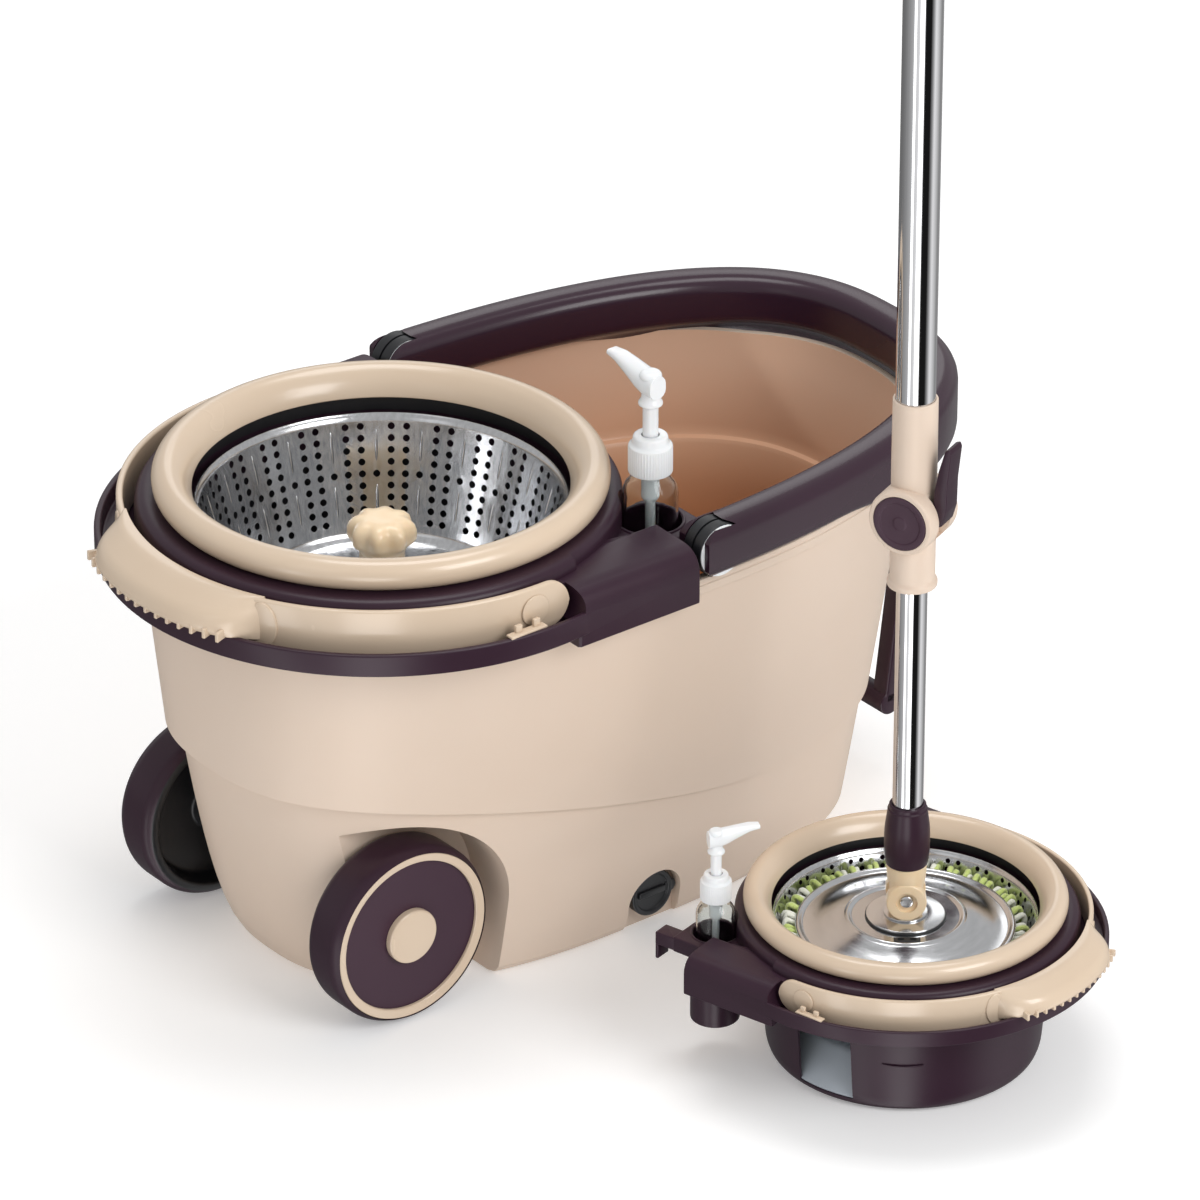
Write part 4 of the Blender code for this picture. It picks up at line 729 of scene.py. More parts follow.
def buildDeck():
    d = deck
    profile = filleted([
        (d["inner"], d["bottom"], 0.0), (d["lipR"], d["bottom"], 0.0012), (d["lipR"], d["lipTop"], 0.0016),
        (d["lipIn"], d["lipTop"] - 0.0004, 0.0012), (d["lipIn"], d["channel"], 0.0015),
        (d["channelIn"], d["channel"], 0.0020),
        (d["channelIn"], d["top"], 0.0070), (d["inner"] + 0.0060, d["top"], 0.0),
        (d["inner"], d["top"] - 0.0020, 0.0)])
    body = spun(profile, 144)
    hub = spun(filleted([(d["inner"], d["bottom"], 0), (d["channelIn"] - 0.003, d["bottom"], 0),
                         (d["channelIn"] - 0.003, d["top"], 0.0060), (d["inner"] + 0.0060, d["top"], 0),
                         (d["inner"], d["top"] - 0.0020, 0)]), 144)
    body = cut(body, block(d["armStart"], 0.2, -0.2, 0.2, 0.2, 0.3))
    body = fused(body, hub)
    for side in (-1, 1):
        skirtTop, out = d["bottom"] + 0.0005, d["armOut"]
        shoulder = filleted([(d["armIn"] - 0.008, d["bottom"], 0), (d["armIn"] - 0.008, d["armTop"], 0.003),
                             (out, d["armTop"] - 0.001, 0.0150), (out, d["armLow"], 0.0012),
                             (d["skirtIn"], d["armLow"], 0.0008), (d["skirtIn"], skirtTop, 0)], steps=8)
        ends = [(d["armStart"] - 0.0170, 0.0012), (d["armStart"] - 0.0158, 0.0), (d["armEnd"] - 0.0012, 0.0),
                (d["armEnd"], 0.0012)]
        def place(k, end):
            y, z = shoulder[k]
            return end[0], side * (y - (end[1] if y > 0.14 else 0)), z - (end[1] if z > 0.26 else 0)
        arm = skinned(len(shoulder), ends, place)
        pocket = alongY(rod(0.0182, *sorted((side * -0.1435, side * -0.2)), 72), 0.0035, 0, 0.2640)
        arm = cut(arm, pocket, block(-0.02, 0.0035, *sorted((side * 0.1435, side * 0.2)), 0.2, 0.3))
        filler = slab([(d["armStart"] - 0.0005, side * 0.124), (d["armEnd"] - 0.001, side * 0.124),
                       (0.0600, side * 0.1150), (d["armStart"] - 0.0005, side * 0.118)],
                      d["bottom"], d["armTop"] - 0.0008, 0.0006)
        body = fused(body, arm, filler)
    tongue = slab([(0.0700, -0.1290), (0.1380, -0.1270), (0.1380, -0.0980), (0.1290, -0.0780), (0.1080, -0.0780),
                   (0.0700, -0.1180)], d["channel"], well["top"], 0.0016)
    hook = block(0.1360, 0.1550, -0.1270, -0.1120, d["channel"] + 0.001, well["top"] - 0.001, 0.0010)
    bill = block(0.1520, 0.1550, -0.1268, -0.1122, d["channel"] - 0.0120, well["top"] - 0.003, 0.0009)
    cup = rod(well["radius"] + well["wall"], bottleSize["low"] - 0.0021, d["channel"] + 0.002, 64, 0.002)
    body = fused(body, tongue, hook, bill, shifted(cup, well["x"], well["y"], 0))
    body = cut(body, shifted(rod(well["radius"], bottleSize["low"] - 0.0003, 0.3, 64), well["x"], well["y"], 0))
    lip = spun(filleted([(well["radius"], well["top"] - 0.0006, 0),
                         (well["radius"] + 0.0022, well["top"] - 0.0006, 0),
                         (well["radius"] + 0.0020, well["top"] + 0.0008, 0.0006),
                         (well["radius"] + 0.0004, well["top"] + 0.0008, 0.0006)]), 64)
    return joined(body, shifted(lip, well["x"], well["y"], 0))


def buildTub():
    t = tub
    corner = 0.0110
    shell = [(0, t["bottom"], 0), (0.0700, t["bottom"], 0), (0.0712, t["bottom"] + 0.0012, 0.0005),
             (t["baseR"] - corner, t["bottom"], 0.002),
             (t["baseR"] - 0.003, t["bottom"] + 0.003, 0.004), (t["baseR"], t["bottom"] + corner, 0.004),
             (t["radius"] - 0.0015, t["top"] - 0.0170, 0.001), (t["radius"], t["top"] - 0.0160, 0.001),
             (t["radius"], t["top"], 0.0),
             (t["radius"] - t["wall"], t["top"], 0.0), (t["baseR"] - t["wall"], t["bottom"] + corner, 0.004),
             (t["baseR"] - corner, t["bottom"] + t["wall"], 0.003), (0.0140, t["bottom"] + t["wall"], 0.001),
             (0.0140, t["bottom"] + 0.0095, 0.0008), (0, t["bottom"] + 0.0095, 0)]
    body = spun(filleted(shell, closed=False), 144, closed=False)
    # inward faces of the purple tub get the near-black shadowGap material: painted shade inside the tub
    for f in body.faces:
        here = f.calc_center_median()
        towards = Vector((-here.x, -here.y, 0))
        f.material_index = 1 if towards.length > 0.01 and f.normal.dot(towards.normalized()) > 0.3 else 0
    body = cut(body, block(-t["windowHalf"], t["windowHalf"], -0.14, -0.09, t["windowLow"], t["windowHigh"]))
    return body


def buildThumbScoop(angle, z, halfWidth):
    # shallow crescent bead on the tub wall
    t = tub
    def shape(k, i):
        u = -1 + 2 * i / 24
        a = radians(angle + halfWidth * u)
        swell = sqrt(max(0.0, 1 - u * u))
        r = mix(t["baseR"], t["radius"] - 0.0015,
                (z - t["bottom"] - 0.011) / (t["top"] - 0.017 - t["bottom"] - 0.011))
        o, h = rounded(0.0022, 0.0024, 0.0010, 2)[k]
        return ((r + 0.0004 + o * swell) * cos(a), (r + 0.0004 + o * swell) * sin(a),
                z + h * swell + 0.002 * (u * u - 1))
    return skinned(12, list(range(1, 24)), shape)


def buildRing():
    s = ring
    crest = arcPoints(s["radius"], s["z"], s["tube"], -62, 108, 18)
    inner = filleted([(0.1140, s["z"] + 0.0060, 0), (0.1100, s["z"] + 0.0010, 0.003),
                      (s["inner"] + 0.0010, s["low"] + 0.0045, 0.002),
                      (s["inner"], s["low"] + 0.0008, 0.0006), (s["inner"] + 0.0022, s["low"] - 0.0005, 0)],
                      closed=False)
    return spun(crest + inner, 160)


def buildPaintedShadeCollar():
    # dark sheet below the ring, seen between the ring and the basket's rim: painted shade in that gap
    return spun(filleted([(0.1128, 0.2700, 0), (0.1142, 0.2700, 0), (0.1142, 0.2788, 0), (0.1128, 0.2788, 0)]), 128)


def buildBasket():
    b = basket
    columns = b["groups"] * 3
    heights = [mix(b["lowRow"], b["highRow"], i / (b["rows"] - 1)) for i in range(b["rows"])]
    def wallR(z):
        return mix(b["baseR"], b["radius"] - 0.0025,
                   (z - b["floor"] - 0.012) / (b["top"] - 0.003 - b["floor"] - 0.012))
    profile = [(0.0045, b["floor"] + 0.0006), (0.0230, b["floor"] + 0.0006), (0.0245, b["floor"] + 0.0018),
               (0.0400, b["floor"] + 0.0018),
               (0.0415, b["floor"] + 0.0006), (0.0550, b["floor"] + 0.0006), (0.0650, b["floor"] + 0.0006),
               (b["baseR"] - 0.0120, b["floor"] + 0.0006)]
    profile += arcPoints(b["baseR"] - 0.0120, b["floor"] + 0.0118, 0.0112, -72, -8, 5)
    profile += [(wallR(z), z) for z in heights]
    profile += [(wallR(0.2672), 0.2672), (wallR(0.2686), 0.2686), (b["radius"] - 0.0012, 0.2700),
                (b["radius"] - 0.0004, 0.2708), (b["radius"] - 0.0002, b["top"])]
    body = bmesh.new()
    verts = [body.verts.new((r, 0, z)) for r, z in profile]
    edges = [body.edges.new(pair) for pair in zip(verts, verts[1:])]
    bmesh.ops.spin(body, geom=verts + edges, cent=(0, 0, 0), axis=(0, 0, 1), angle=2 * pi, steps=columns,
                   use_merge=True)
    bmesh.ops.remove_doubles(body, verts=body.verts[:], dist=1e-6)
    bmesh.ops.recalc_face_normals(body, faces=body.faces[:])
    wanted = []
    for v in body.verts:
        column = round(degrees(atan2(v.co.y, v.co.x)) / (360 / columns)) % columns
        row = [i for i, z in enumerate(heights) if abs(v.co.z - z) < 1e-5]
        r = v.co.to_2d().length
        if row and (column % 3 < 2 or row[0] == b["rows"] // 2):
            wanted.append(v)
        elif abs(r - 0.0650) < 1e-5 and column % 3 == 0:
            wanted.append(v)
        elif abs(r - 0.0550) < 1e-5 and column % 6 == 3:
            wanted.append(v)
    made = bmesh.ops.bevel(body, geom=wanted, offset=b["holeR"], affect="VERTICES", segments=1, profile=0.5,
                           material=-1)
    holes, centres = made["faces"], kdtree.KDTree(len(made["faces"]))
    for i, f in enumerate(holes):
        centres.insert(f.calc_center_median(), i)
    centres.balance()
    rims = list({e for f in holes for e in f.edges})
    bmesh.ops.delete(body, geom=holes, context="FACES_ONLY")
    split = bmesh.ops.bisect_edges(body, edges=rims, cuts=2)["geom_split"]
    rounding = {v for g in split for v in ([g] if isinstance(g, bmesh.types.BMVert) else getattr(g, "verts", []))}
    for v in rounding:                                     # each diamond becomes a round hole
        centre = centres.find(v.co)[0]
        v.co = centre + (v.co - centre).normalized() * b["holeR"]
    print("basket holes", len(holes))
    bmesh.ops.recalc_face_normals(body, faces=body.faces[:])
    bmesh.ops.solidify(body, geom=body.faces[:], thickness=b["sheet"])
    return body


def buildRibs():
    # pressed ribs between the groups of holes, above and below the middle row
    b = basket
    ribs = None
    for g in range(b["groups"]):
        for z in (mix(b["lowRow"], b["highRow"], 0.22), mix(b["lowRow"], b["highRow"], 0.80)):
            bead = bmesh.new()
            bmesh.ops.create_uvsphere(bead, u_segments=8, v_segments=7, radius=1)
            r = mix(b["baseR"], b["radius"] - 0.0025,
                    (z - b["floor"] - 0.012) / (b["top"] - 0.003 - b["floor"] - 0.012)) - 0.0004
            a = radians((g * 3 + 2) * 360 / (b["groups"] * 3))
            lean = Matrix.Rotation(-atan2(0.0163, 0.059), 4, "Y")
            moved(bead, Matrix.Rotation(a, 4, "Z") @ Matrix.Translation((r, 0,
                    z)) @ lean.inverted() @ Matrix.Diagonal((0.0008, 0.0011, 0.0105, 1)))
            ribs = bead if ribs is None else joined(ribs, bead)
    return ribs


def buildPost():
    p = post
    seat, neckTop = basket["floor"] + 0.0013, p["top"] - 0.0150
    levels = [(0.0220, seat, 0), (0.0218, seat + 0.003, 0), (0.0190, seat + 0.006, 0),
              (p["neck"] + 0.001, seat + 0.010, 0), (p["neck"], seat + 0.016, 0),
              (p["neck"], neckTop - 0.006, 0), (p["neck"] + 0.002, neckTop - 0.002, 0.2),
              (p["radius"] - 0.0012, neckTop, 0.7), (p["radius"], neckTop + 0.0025, 1),
              (p["radius"], neckTop + 0.0075, 1), (p["radius"] - 0.0010, p["top"] - 0.0042, 1),
              (p["radius"] - 0.0034, p["top"] - 0.0016, 0.9),
              (p["radius"] - 0.0066, p["top"] - 0.0003, 0.7), (0.0075, p["top"], 0.4),
              (0.0030, p["top"] - 0.0003, 0.2)]
    def shape(k, level):
        r, z, wave = level
        t = 2 * pi * k / 112
        r *= 1 + 0.085 * wave * cos(p["lobes"] * t)
        return r * cos(t), r * sin(t), z
    return skinned(112, levels, shape)


def buildBail():
    b = bailSize
    path, halves = [], []
    R, cap = b["tall"] / 2 - 0.0001, 10
    ends = [R * sin(pi / 2 * (1 - i / cap)) for i in range(cap)]
    for side in (-1, 1):
        if side < 0:
            path += [Vector((b["x"] + e, -b["radius"])) for e in ends]
            halves += [sqrt(max(R * R - e * e, 1e-9)) for e in ends]
            bend = [Vector((-b["radius"] * sin(pi * i / 120), -b["radius"] * cos(pi * i / 120))) for i in range(121)]
            path += [Vector((b["x"], -b["radius"]))] + bend + [Vector((b["x"], b["radius"]))]
            halves += [R] * 123
        else:
            path += [Vector((b["x"] + e, b["radius"])) for e in reversed(ends)]
            halves += [sqrt(max(R * R - e * e, 1e-9)) for e in reversed(ends)]
    def section(i):
        half = max(halves[i], 0.0012)
        corner = min(0.0013, half * 0.9)
        return [(o, b["z"] + z) for o, z in rounded(b["thick"], 2 * half, corner, 3)]
    band = flatSweep(path, section)

    low, high = b["z"] - b["tall"] / 2, b["z"] + b["tall"] / 2
    outer, inner = b["radius"] + b["thick"] / 2, b["radius"] - b["thick"] / 2 - 0.0006
    def gripShape(k, i):
        u = -1 + 2 * i / 60
        a = radians(180 + b["gripHalf"] * u)
        swell = 1 - abs(u) ** 5
        far = mix(outer + 0.0004, b["gripOut"], swell)
        drop, crown = mix(low + 0.004, b["gripLow"], swell), high + 0.0007
        reach = far - inner
        points = filleted([(inner, drop, 0.0006), (far - 0.10 * reach, drop, 0.001),
                           (far, mix(drop, crown, 0.18), 0.002),
                           (far - 0.12 * reach, mix(drop, crown, 0.62), 0.006), (far - 0.72 * reach, crown, 0.004),
                           (inner, crown - 0.0004, 0.0004)], steps=5)
        r, z = points[k]
        return r * cos(a), r * sin(a), z
    grip = skinned(36, list(range(61)), gripShape)
    shoulders = []
    for end in (-1, 1):                                    # round-ended shoulder where grip meets band
        pad = rod(0.0105, 0, 0.0022, 40, 0.0012)
        moved(pad, Matrix.Diagonal((0.85, 1.30, 1, 1)))
        a = 180 + end * (b["gripHalf"] + 0.2)
        stand = Matrix.Rotation(radians(a), 4, "Z") @ Matrix.Translation((b["radius"] + 0.0010, 0,
                b["z"] - 0.0004)) @ Matrix.Rotation(pi / 2, 4, "Y") @ Matrix.Rotation(pi / 2, 4, "Z")
        shoulders.append(moved(pad, stand))
    ribs = []
    for i in range(b["ribs"]):
        a = radians(180 + mix(-0.78, 0.78, i / (b["ribs"] - 1)) * b["gripHalf"])
        rib = block(b["gripOut"] - 0.0110, b["gripOut"] - 0.0014, -0.0011, 0.0011, b["gripLow"] - 0.0018,
                    b["gripLow"] + 0.0040, 0.0006)
        ribs.append(moved(rib, Matrix.Rotation(a, 4, "Z")))
    trims = []
    for side in (-1, 1):
        y = -side * b["radius"]
        face = y + (-side) * (b["thick"] / 2)
        button = rod(0.0092, *sorted((face - (-side) * 0.0004, face + (-side) * 0.0009)), 48, 0.0006)
        trims.append(alongY(button, b["button"] + 0.006, 0, b["z"] + 0.0006))
    return joined(band, grip, *shoulders, *ribs, *trims)


def buildBailClip():
    # two small tabs on a foot below each end of the bail, moulded in the bail's colour
    parts = []
    for side in (-1, 1):
        y0, y1 = sorted((side * 0.1545, side * 0.1600))
        parts.append(block(-0.0300, -0.0050, y0, y1, deck["lipTop"] - 0.0006, deck["lipTop"] + 0.0010, 0.0005))
        for x in (-0.0225, -0.0100):
            y2, y3 = sorted((side * 0.1548, side * 0.1572))
            parts.append(block(x - 0.0022, x + 0.0022, y2, y3, deck["lipTop"] + 0.0004, deck["lipTop"] + 0.0052,
                               0.0005))
    return joined(*parts)


def buildBottle():
    b = bottleSize
    r, t = b["radius"], b["wall"]
    outer = [(0, b["low"] + 0.0015, 0), (r - 0.006, b["low"] + 0.0010, 0.002), (r - 0.0035, b["low"], 0.001),
             (r, b["low"], 0.003),
             (r, b["top"] - 0.0060, 0.005), (b["neck"], b["top"] + 0.0020, 0.004), (b["neck"], b["neckTop"], 0)]
    inner = [(b["neck"] - t, b["neckTop"], 0), (b["neck"] - t, b["top"] + 0.0015, 0.003),
             (r - t, b["top"] - 0.0068, 0.004),
             (r - t, b["low"] + t, 0.003), (r - 0.006, b["low"] + t + 0.001, 0.001), (0, b["low"] + t + 0.0012, 0)]
    return spun(filleted(outer + inner, closed=False, steps=5), 72, closed=False)


def buildCollar():
    p, b = pump, bottleSize
    tip = b["low"] + 0.006
    profile = [(0.0018, tip, 0), (0.0030, tip, 0), (0.0030, b["top"] - 0.016, 0), (0.0052, b["top"] - 0.013, 0.001),
               (0.0052, p["collarTop"] - 0.004, 0), (b["neck"] + 0.0003, p["collarTop"] - 0.004, 0),
               (b["neck"] + 0.0003, p["collarLow"], 0),
               (p["collarR"], p["collarLow"], 0.0006), (p["collarR"], p["collarTop"] - 0.0065, 0.0008),
               (p["collarR"] - 0.0022, p["collarTop"] - 0.0050, 0.001),
               (p["collarR"] - 0.0030, p["collarTop"], 0.0014), (p["stem"] + 0.0008, p["collarTop"], 0),
               (p["stem"] + 0.0004, b["top"] - 0.008, 0),
               (0.0018, b["top"] - 0.010, 0)]
    body = spun(filleted(profile, steps=3), 96)
    for v in body.verts:                                   # ribbed grip round the screw collar
        r = v.co.to_2d().length
        if abs(r - p["collarR"]) < 2e-4 and v.co.z < p["collarTop"] - 0.0066:
            k = round(atan2(v.co.y, v.co.x) / (2 * pi) * 96)
            v.co.xy *= 1 - 0.030 * (k % 2)
    return body


def buildPumpHead(turn):
    p = pump
    stem = spun(filleted([(0, p["collarTop"] - 0.022, 0), (p["stem"], p["collarTop"] - 0.022, 0),
                          (p["stem"], p["headLow"] - 0.001, 0.001),
                          (0.0070, p["headLow"] - 0.0004, 0.0006), (0.0070, p["headLow"] + 0.0012, 0.0006),
                          (0.0052, p["headLow"] + 0.0040, 0.003),
                          (0.0056, p["headTop"] - 0.006, 0.003), (0.0068, p["headTop"] - 0.002, 0.002),
                          (0.0050, p["headTop"] + 0.0004, 0.002), (0, p["headTop"] + 0.0005, 0)], closed=False), 64,
                          closed=False)
    stations = []
    low, top = p["headLow"], p["headTop"]
    marks = [(-0.0066, 0.0056, low + 0.0050, top - 0.0012), (0.0010, 0.0068, low + 0.0048, top + 0.0002),
             (0.0080, 0.0068, low + 0.0070, top + 0.0008), (0.0170, 0.0060, low + 0.0120, top + 0.0014),
             (0.0270, 0.0050, low + 0.0166, top + 0.0020), (p["nozzle"], 0.0040, low + 0.0178, top + 0.0012)]
    for i in range(len(marks) - 1):
        for j in range(4):
            stations.append([mix(a, b, ease(0, 1, j / 4) * 0.5 + j / 8) for a, b in zip(marks[i], marks[i + 1])])
    stations.append(list(marks[-1]))
    def shape(k, s):
        along, wide, low, high = s
        y, z = rounded(wide * 2, high - low, min(wide, (high - low) / 2) * 0.9, 4)[k]
        return along, y, (low + high) / 2 + z
    spout = skinned(20, stations, shape)
    return moved(joined(stem, spout), Matrix.Rotation(radians(turn), 4, "Z"))


def copied(bm):
    return bm.copy()


freeRing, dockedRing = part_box("free_splash_ring"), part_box("docked_splash_ring")
freeScale = (freeRing[1].z - freeRing[0].z) / (dockedRing[1].z - dockedRing[0].z)
freeX, freeY = (freeRing[0].x + freeRing[1].x) / 2, (freeRing[0].y + freeRing[1].y) / 2
swingAxis = joints["free_bail_swing"]["axis"]
freeTurn = atan2(swingAxis[1], swingAxis[0]) - pi / 2
places = {
    "docked": (Matrix(), 90.0),
    "free": (Matrix.Translation((freeX, freeY, 0)) @ Matrix.Rotation(freeTurn, 4, "Z")
             @ Matrix.Diagonal((freeScale, -freeScale, freeScale, 1)) @ Matrix.Translation((0, 0, -tub["bottom"])),
             degrees(freeTurn) + 24)}


def buildWringers():
    parts = {
        "Deck": (buildDeck(), purpleBody, "wringer", "purple_plastic", ["deck"], 30),
        "Tub": (buildTub(), [purpleBody, shadowGap], "wringer", "purple_plastic", ["tub"], 30),
        "ScoopA": (buildThumbScoop(-124, 0.2000, 9), purpleBody, "wringer", "purple_plastic", [], 40),
        "ScoopB": (buildThumbScoop(-165, 0.2220, 9), purpleBody, "wringer", "purple_plastic", [], 40),
        "CatchTray": (spun(filleted([(0.1085, 0.1600, 0), (0.1092, 0.1612, 0.0006), (0.0850, 0.1880, 0.004),
                                     (0.0180, 0.1905, 0),
                                     (0.0180, 0.1893, 0), (0.0845, 0.1866, 0.003)]), 120), greyTray, "wringer",
                                     "purple_plastic", [], 40),
        "SplashRing": (buildRing(), tanGloss, "wringer", "tan_trim", ["splash_ring"], 40),
        "SplashSkirt": (buildPaintedShadeCollar(), shadowGap, "wringer", "purple_plastic", [], 40),
        "BailClip": (buildBailClip(), tanGloss, "wringer", "tan_trim", [], 30),
        "BasketRibs": (buildRibs(), spinSteel, "spinner", "polished_steel", [], 60),
        "HubKnob": (buildPost(), amberBody, "spinner", "amber_plastic", ["hub_post"], 50),
        "Bail": (buildBail(), tanGloss, "bail_arm", "tan_trim", ["bail"], 34)}
    wall = buildBasket()
    spot = Matrix.Translation((well["x"], well["y"], 0))
    bottle, collar = moved(buildBottle(), spot), moved(buildCollar(), spot)
    for word, (place, spoutTurn) in places.items():
        for name, (bm, materials, body, slotName, nodes, angle) in parts.items():
            mirrored = moved(copied(bm), place)
            finish(word + name, mirrored, materials, word + "_" + body, slotName, [word + "_" + n for n in nodes],
                   angle=angle)
        finish(word + "Basket", moved(copied(wall), place), spinSteel, word + "_spinner", "polished_steel",
               [word + "_basket"], angle=30)
        finish(word + "Bottle", moved(copied(bottle), place), clearBottle, word + "_soap_bottle", "clear_plastic",
               [word + "_bottle"])
        finish(word + "PumpCollar", moved(copied(collar), place), whitePump, word + "_soap_bottle", "white_plastic",
               [word + "_pump_collar"], angle=50)
        head = moved(moved(buildPumpHead(spoutTurn), spot), place)
        finish(word + "PumpHead", head, whitePump, word + "_pump", "white_plastic", [word + "_pump_head"], angle=50)
        for node, m in (("bearing", dishSteel), ("spindle", dishSteel), ("bail_pin_a", tanGloss),
                        ("bail_pin_b", tanGloss)):
            piece = frame["nodes"][word + "_" + node]
            piece.data.materials.clear()
            piece.data.materials.append(m)
        print(word, "wringer placed")
    for bm, *rest in parts.values():
        bm.free()
    for bm in (wall, bottle, collar):
        bm.free()


buildWringers()


# ---- mop head

mopPlace = Matrix.Translation((freeX, freeY, 0))
mop = {"plateR": 0.0622, "rim": 0.0790, "thick": 0.0012, "discR": 0.0223, "discTop": 0.0855, "strands": 132}


def buildMopHead():
    m = mop
    t = m["thick"]
    top = [(0.0085, 0.0832, 0), (0.0308, 0.0832, 0.0006), (0.0328, 0.0848, 0.0010), (0.0346, 0.0832, 0.0006),
           (0.0420, 0.0812, 0.004),
           (0.0520, 0.0780, 0.004), (0.0580, 0.0776, 0.001), (0.0604, m["rim"] + 0.0006, 0.0012),
           (m["plateR"], m["rim"] - 0.0004, 0.0008)]
    under = [(m["plateR"], m["rim"] - 0.0020, 0), (0.0600, m["rim"] - 0.0022, 0), (0.0520, 0.0780 - t, 0),
             (0.0420, 0.0812 - t, 0),
             (0.0346, 0.0832 - t, 0), (0.0085, 0.0832 - t, 0)]
    plate = spun(filleted(top + under, steps=4), 160)
    finish("mopPlate", moved(plate, mopPlace), dishSteel, "mop_head", "polished_steel", ["mop_plate"])
    seam = spun(filleted([(m["discR"] - 0.0002, 0.0833, 0), (m["discR"] + 0.0006, 0.0833, 0),
                          (m["discR"] + 0.0005, 0.0842, 0.0002),
                          (m["discR"] - 0.0002, 0.0842, 0)]), 120)
    finish("discSeal", moved(seam, mopPlace), blackBody, "mop_head", "black_plastic")
    disc = spun(filleted([(0, 0.0835, 0), (m["discR"], 0.0835, 0), (m["discR"], m["discTop"] - 0.0004, 0.0005),
                          (0.0150, m["discTop"], 0.002),
                          (0, m["discTop"], 0)], closed=False), 120, closed=False)
    finish("centreDisc", moved(disc, mopPlace), dishSteel, "mop_head", "polished_steel", ["centre_disc"])
    catch = block(-0.0075, 0.0075, -0.0305, -0.0255, 0.0829, 0.0840, 0.0004)
    for x in (-0.0034, 0.0034):
        catch = cut(catch, block(x - 0.0018, x + 0.0018, -0.0298, -0.0268, 0.0834, 0.0850))
    facing = Matrix.Rotation(radians(view["azimuth"]), 4, "Z")
    finish("plateLatch", moved(catch, mopPlace @ facing), blackBody, "mop_head", "black_plastic")

    # looped microfibre strands: an outer row that curls up round the plate and an inner row below it
    draw = random.Random(7)
    strands = {"Green": None, "White": None}
    for n in range(m["strands"]):
        outerRow = n % 3 != 2
        a = 2 * pi * n / m["strands"] + draw.uniform(-0.02, 0.02)
        lift, reach = draw.uniform(-0.0015, 0.0012), draw.uniform(-0.0016, 0.0012)
        if outerRow:
            route = [(0.0560, 0.0745), (0.0608, 0.0748), (0.0642, 0.0768 + lift), (0.0672 + reach, 0.0786 + lift),
                     (0.0690 + reach, 0.0768 + lift),
                     (0.0676 + reach, 0.0690), (0.0650 + reach, 0.0600), (0.0600 + reach, 0.0500), (0.0540, 0.0432),
                     (0.0480, 0.0440), (0.0500, 0.0520), (0.0540, 0.0620)]
        else:
            route = [(0.0300, 0.0738), (0.0370, 0.0740), (0.0440, 0.0700), (0.0500, 0.0620), (0.0500, 0.0520),
                     (0.0440, 0.0440), (0.0360, 0.0428),
                     (0.0300, 0.0470), (0.0290, 0.0560), (0.0300, 0.0650)]
        sway = draw.uniform(-0.05, 0.05)
        points = []
        for i, (r, z) in enumerate(route):
            turn = a + sway * i / len(route) + draw.uniform(-0.012, 0.012)
            points.append(Vector((r * cos(turn), r * sin(turn), z)))
        def shape(k, i):
            run = (points[min(i + 1, len(points) - 1)] - points[max(i - 1, 0)]).normalized()
            side = run.cross(Vector((-sin(a), cos(a), 0))).normalized()
            up = run.cross(side)
            thick = 0.0019 + 0.0004 * sin(i * 2.1 + n)
            t = 2 * pi * k / 6
            return points[i] + side * cos(t) * thick + up * sin(t) * thick
        tube = skinned(6, list(range(len(points))), shape)
        tint = "Green" if draw.random() < 0.55 else "White"
        strands[tint] = tube if strands[tint] is None else joined(strands[tint], tube)
    for tint, m3 in (("Green", strandGreen), ("White", strandWhite)):
        made = finish("mopStrands" + tint, moved(strands[tint], mopPlace), m3, "mop_head", "microfibre",
                      ["mop_strands"], angle=80)
        soft = made.modifiers.new("soft", "SUBSURF")
        soft.levels = soft.render_levels = 1


knuckle = {"pinZ": 0.0972, "radius": 0.0113, "top": 0.1180, "slot": 0.0085}
knuckleAxis = joints["pole_tilt"]["axis"]
knuckleTurn = Matrix.Rotation(atan2(knuckleAxis[1], knuckleAxis[0]), 4, "Z")


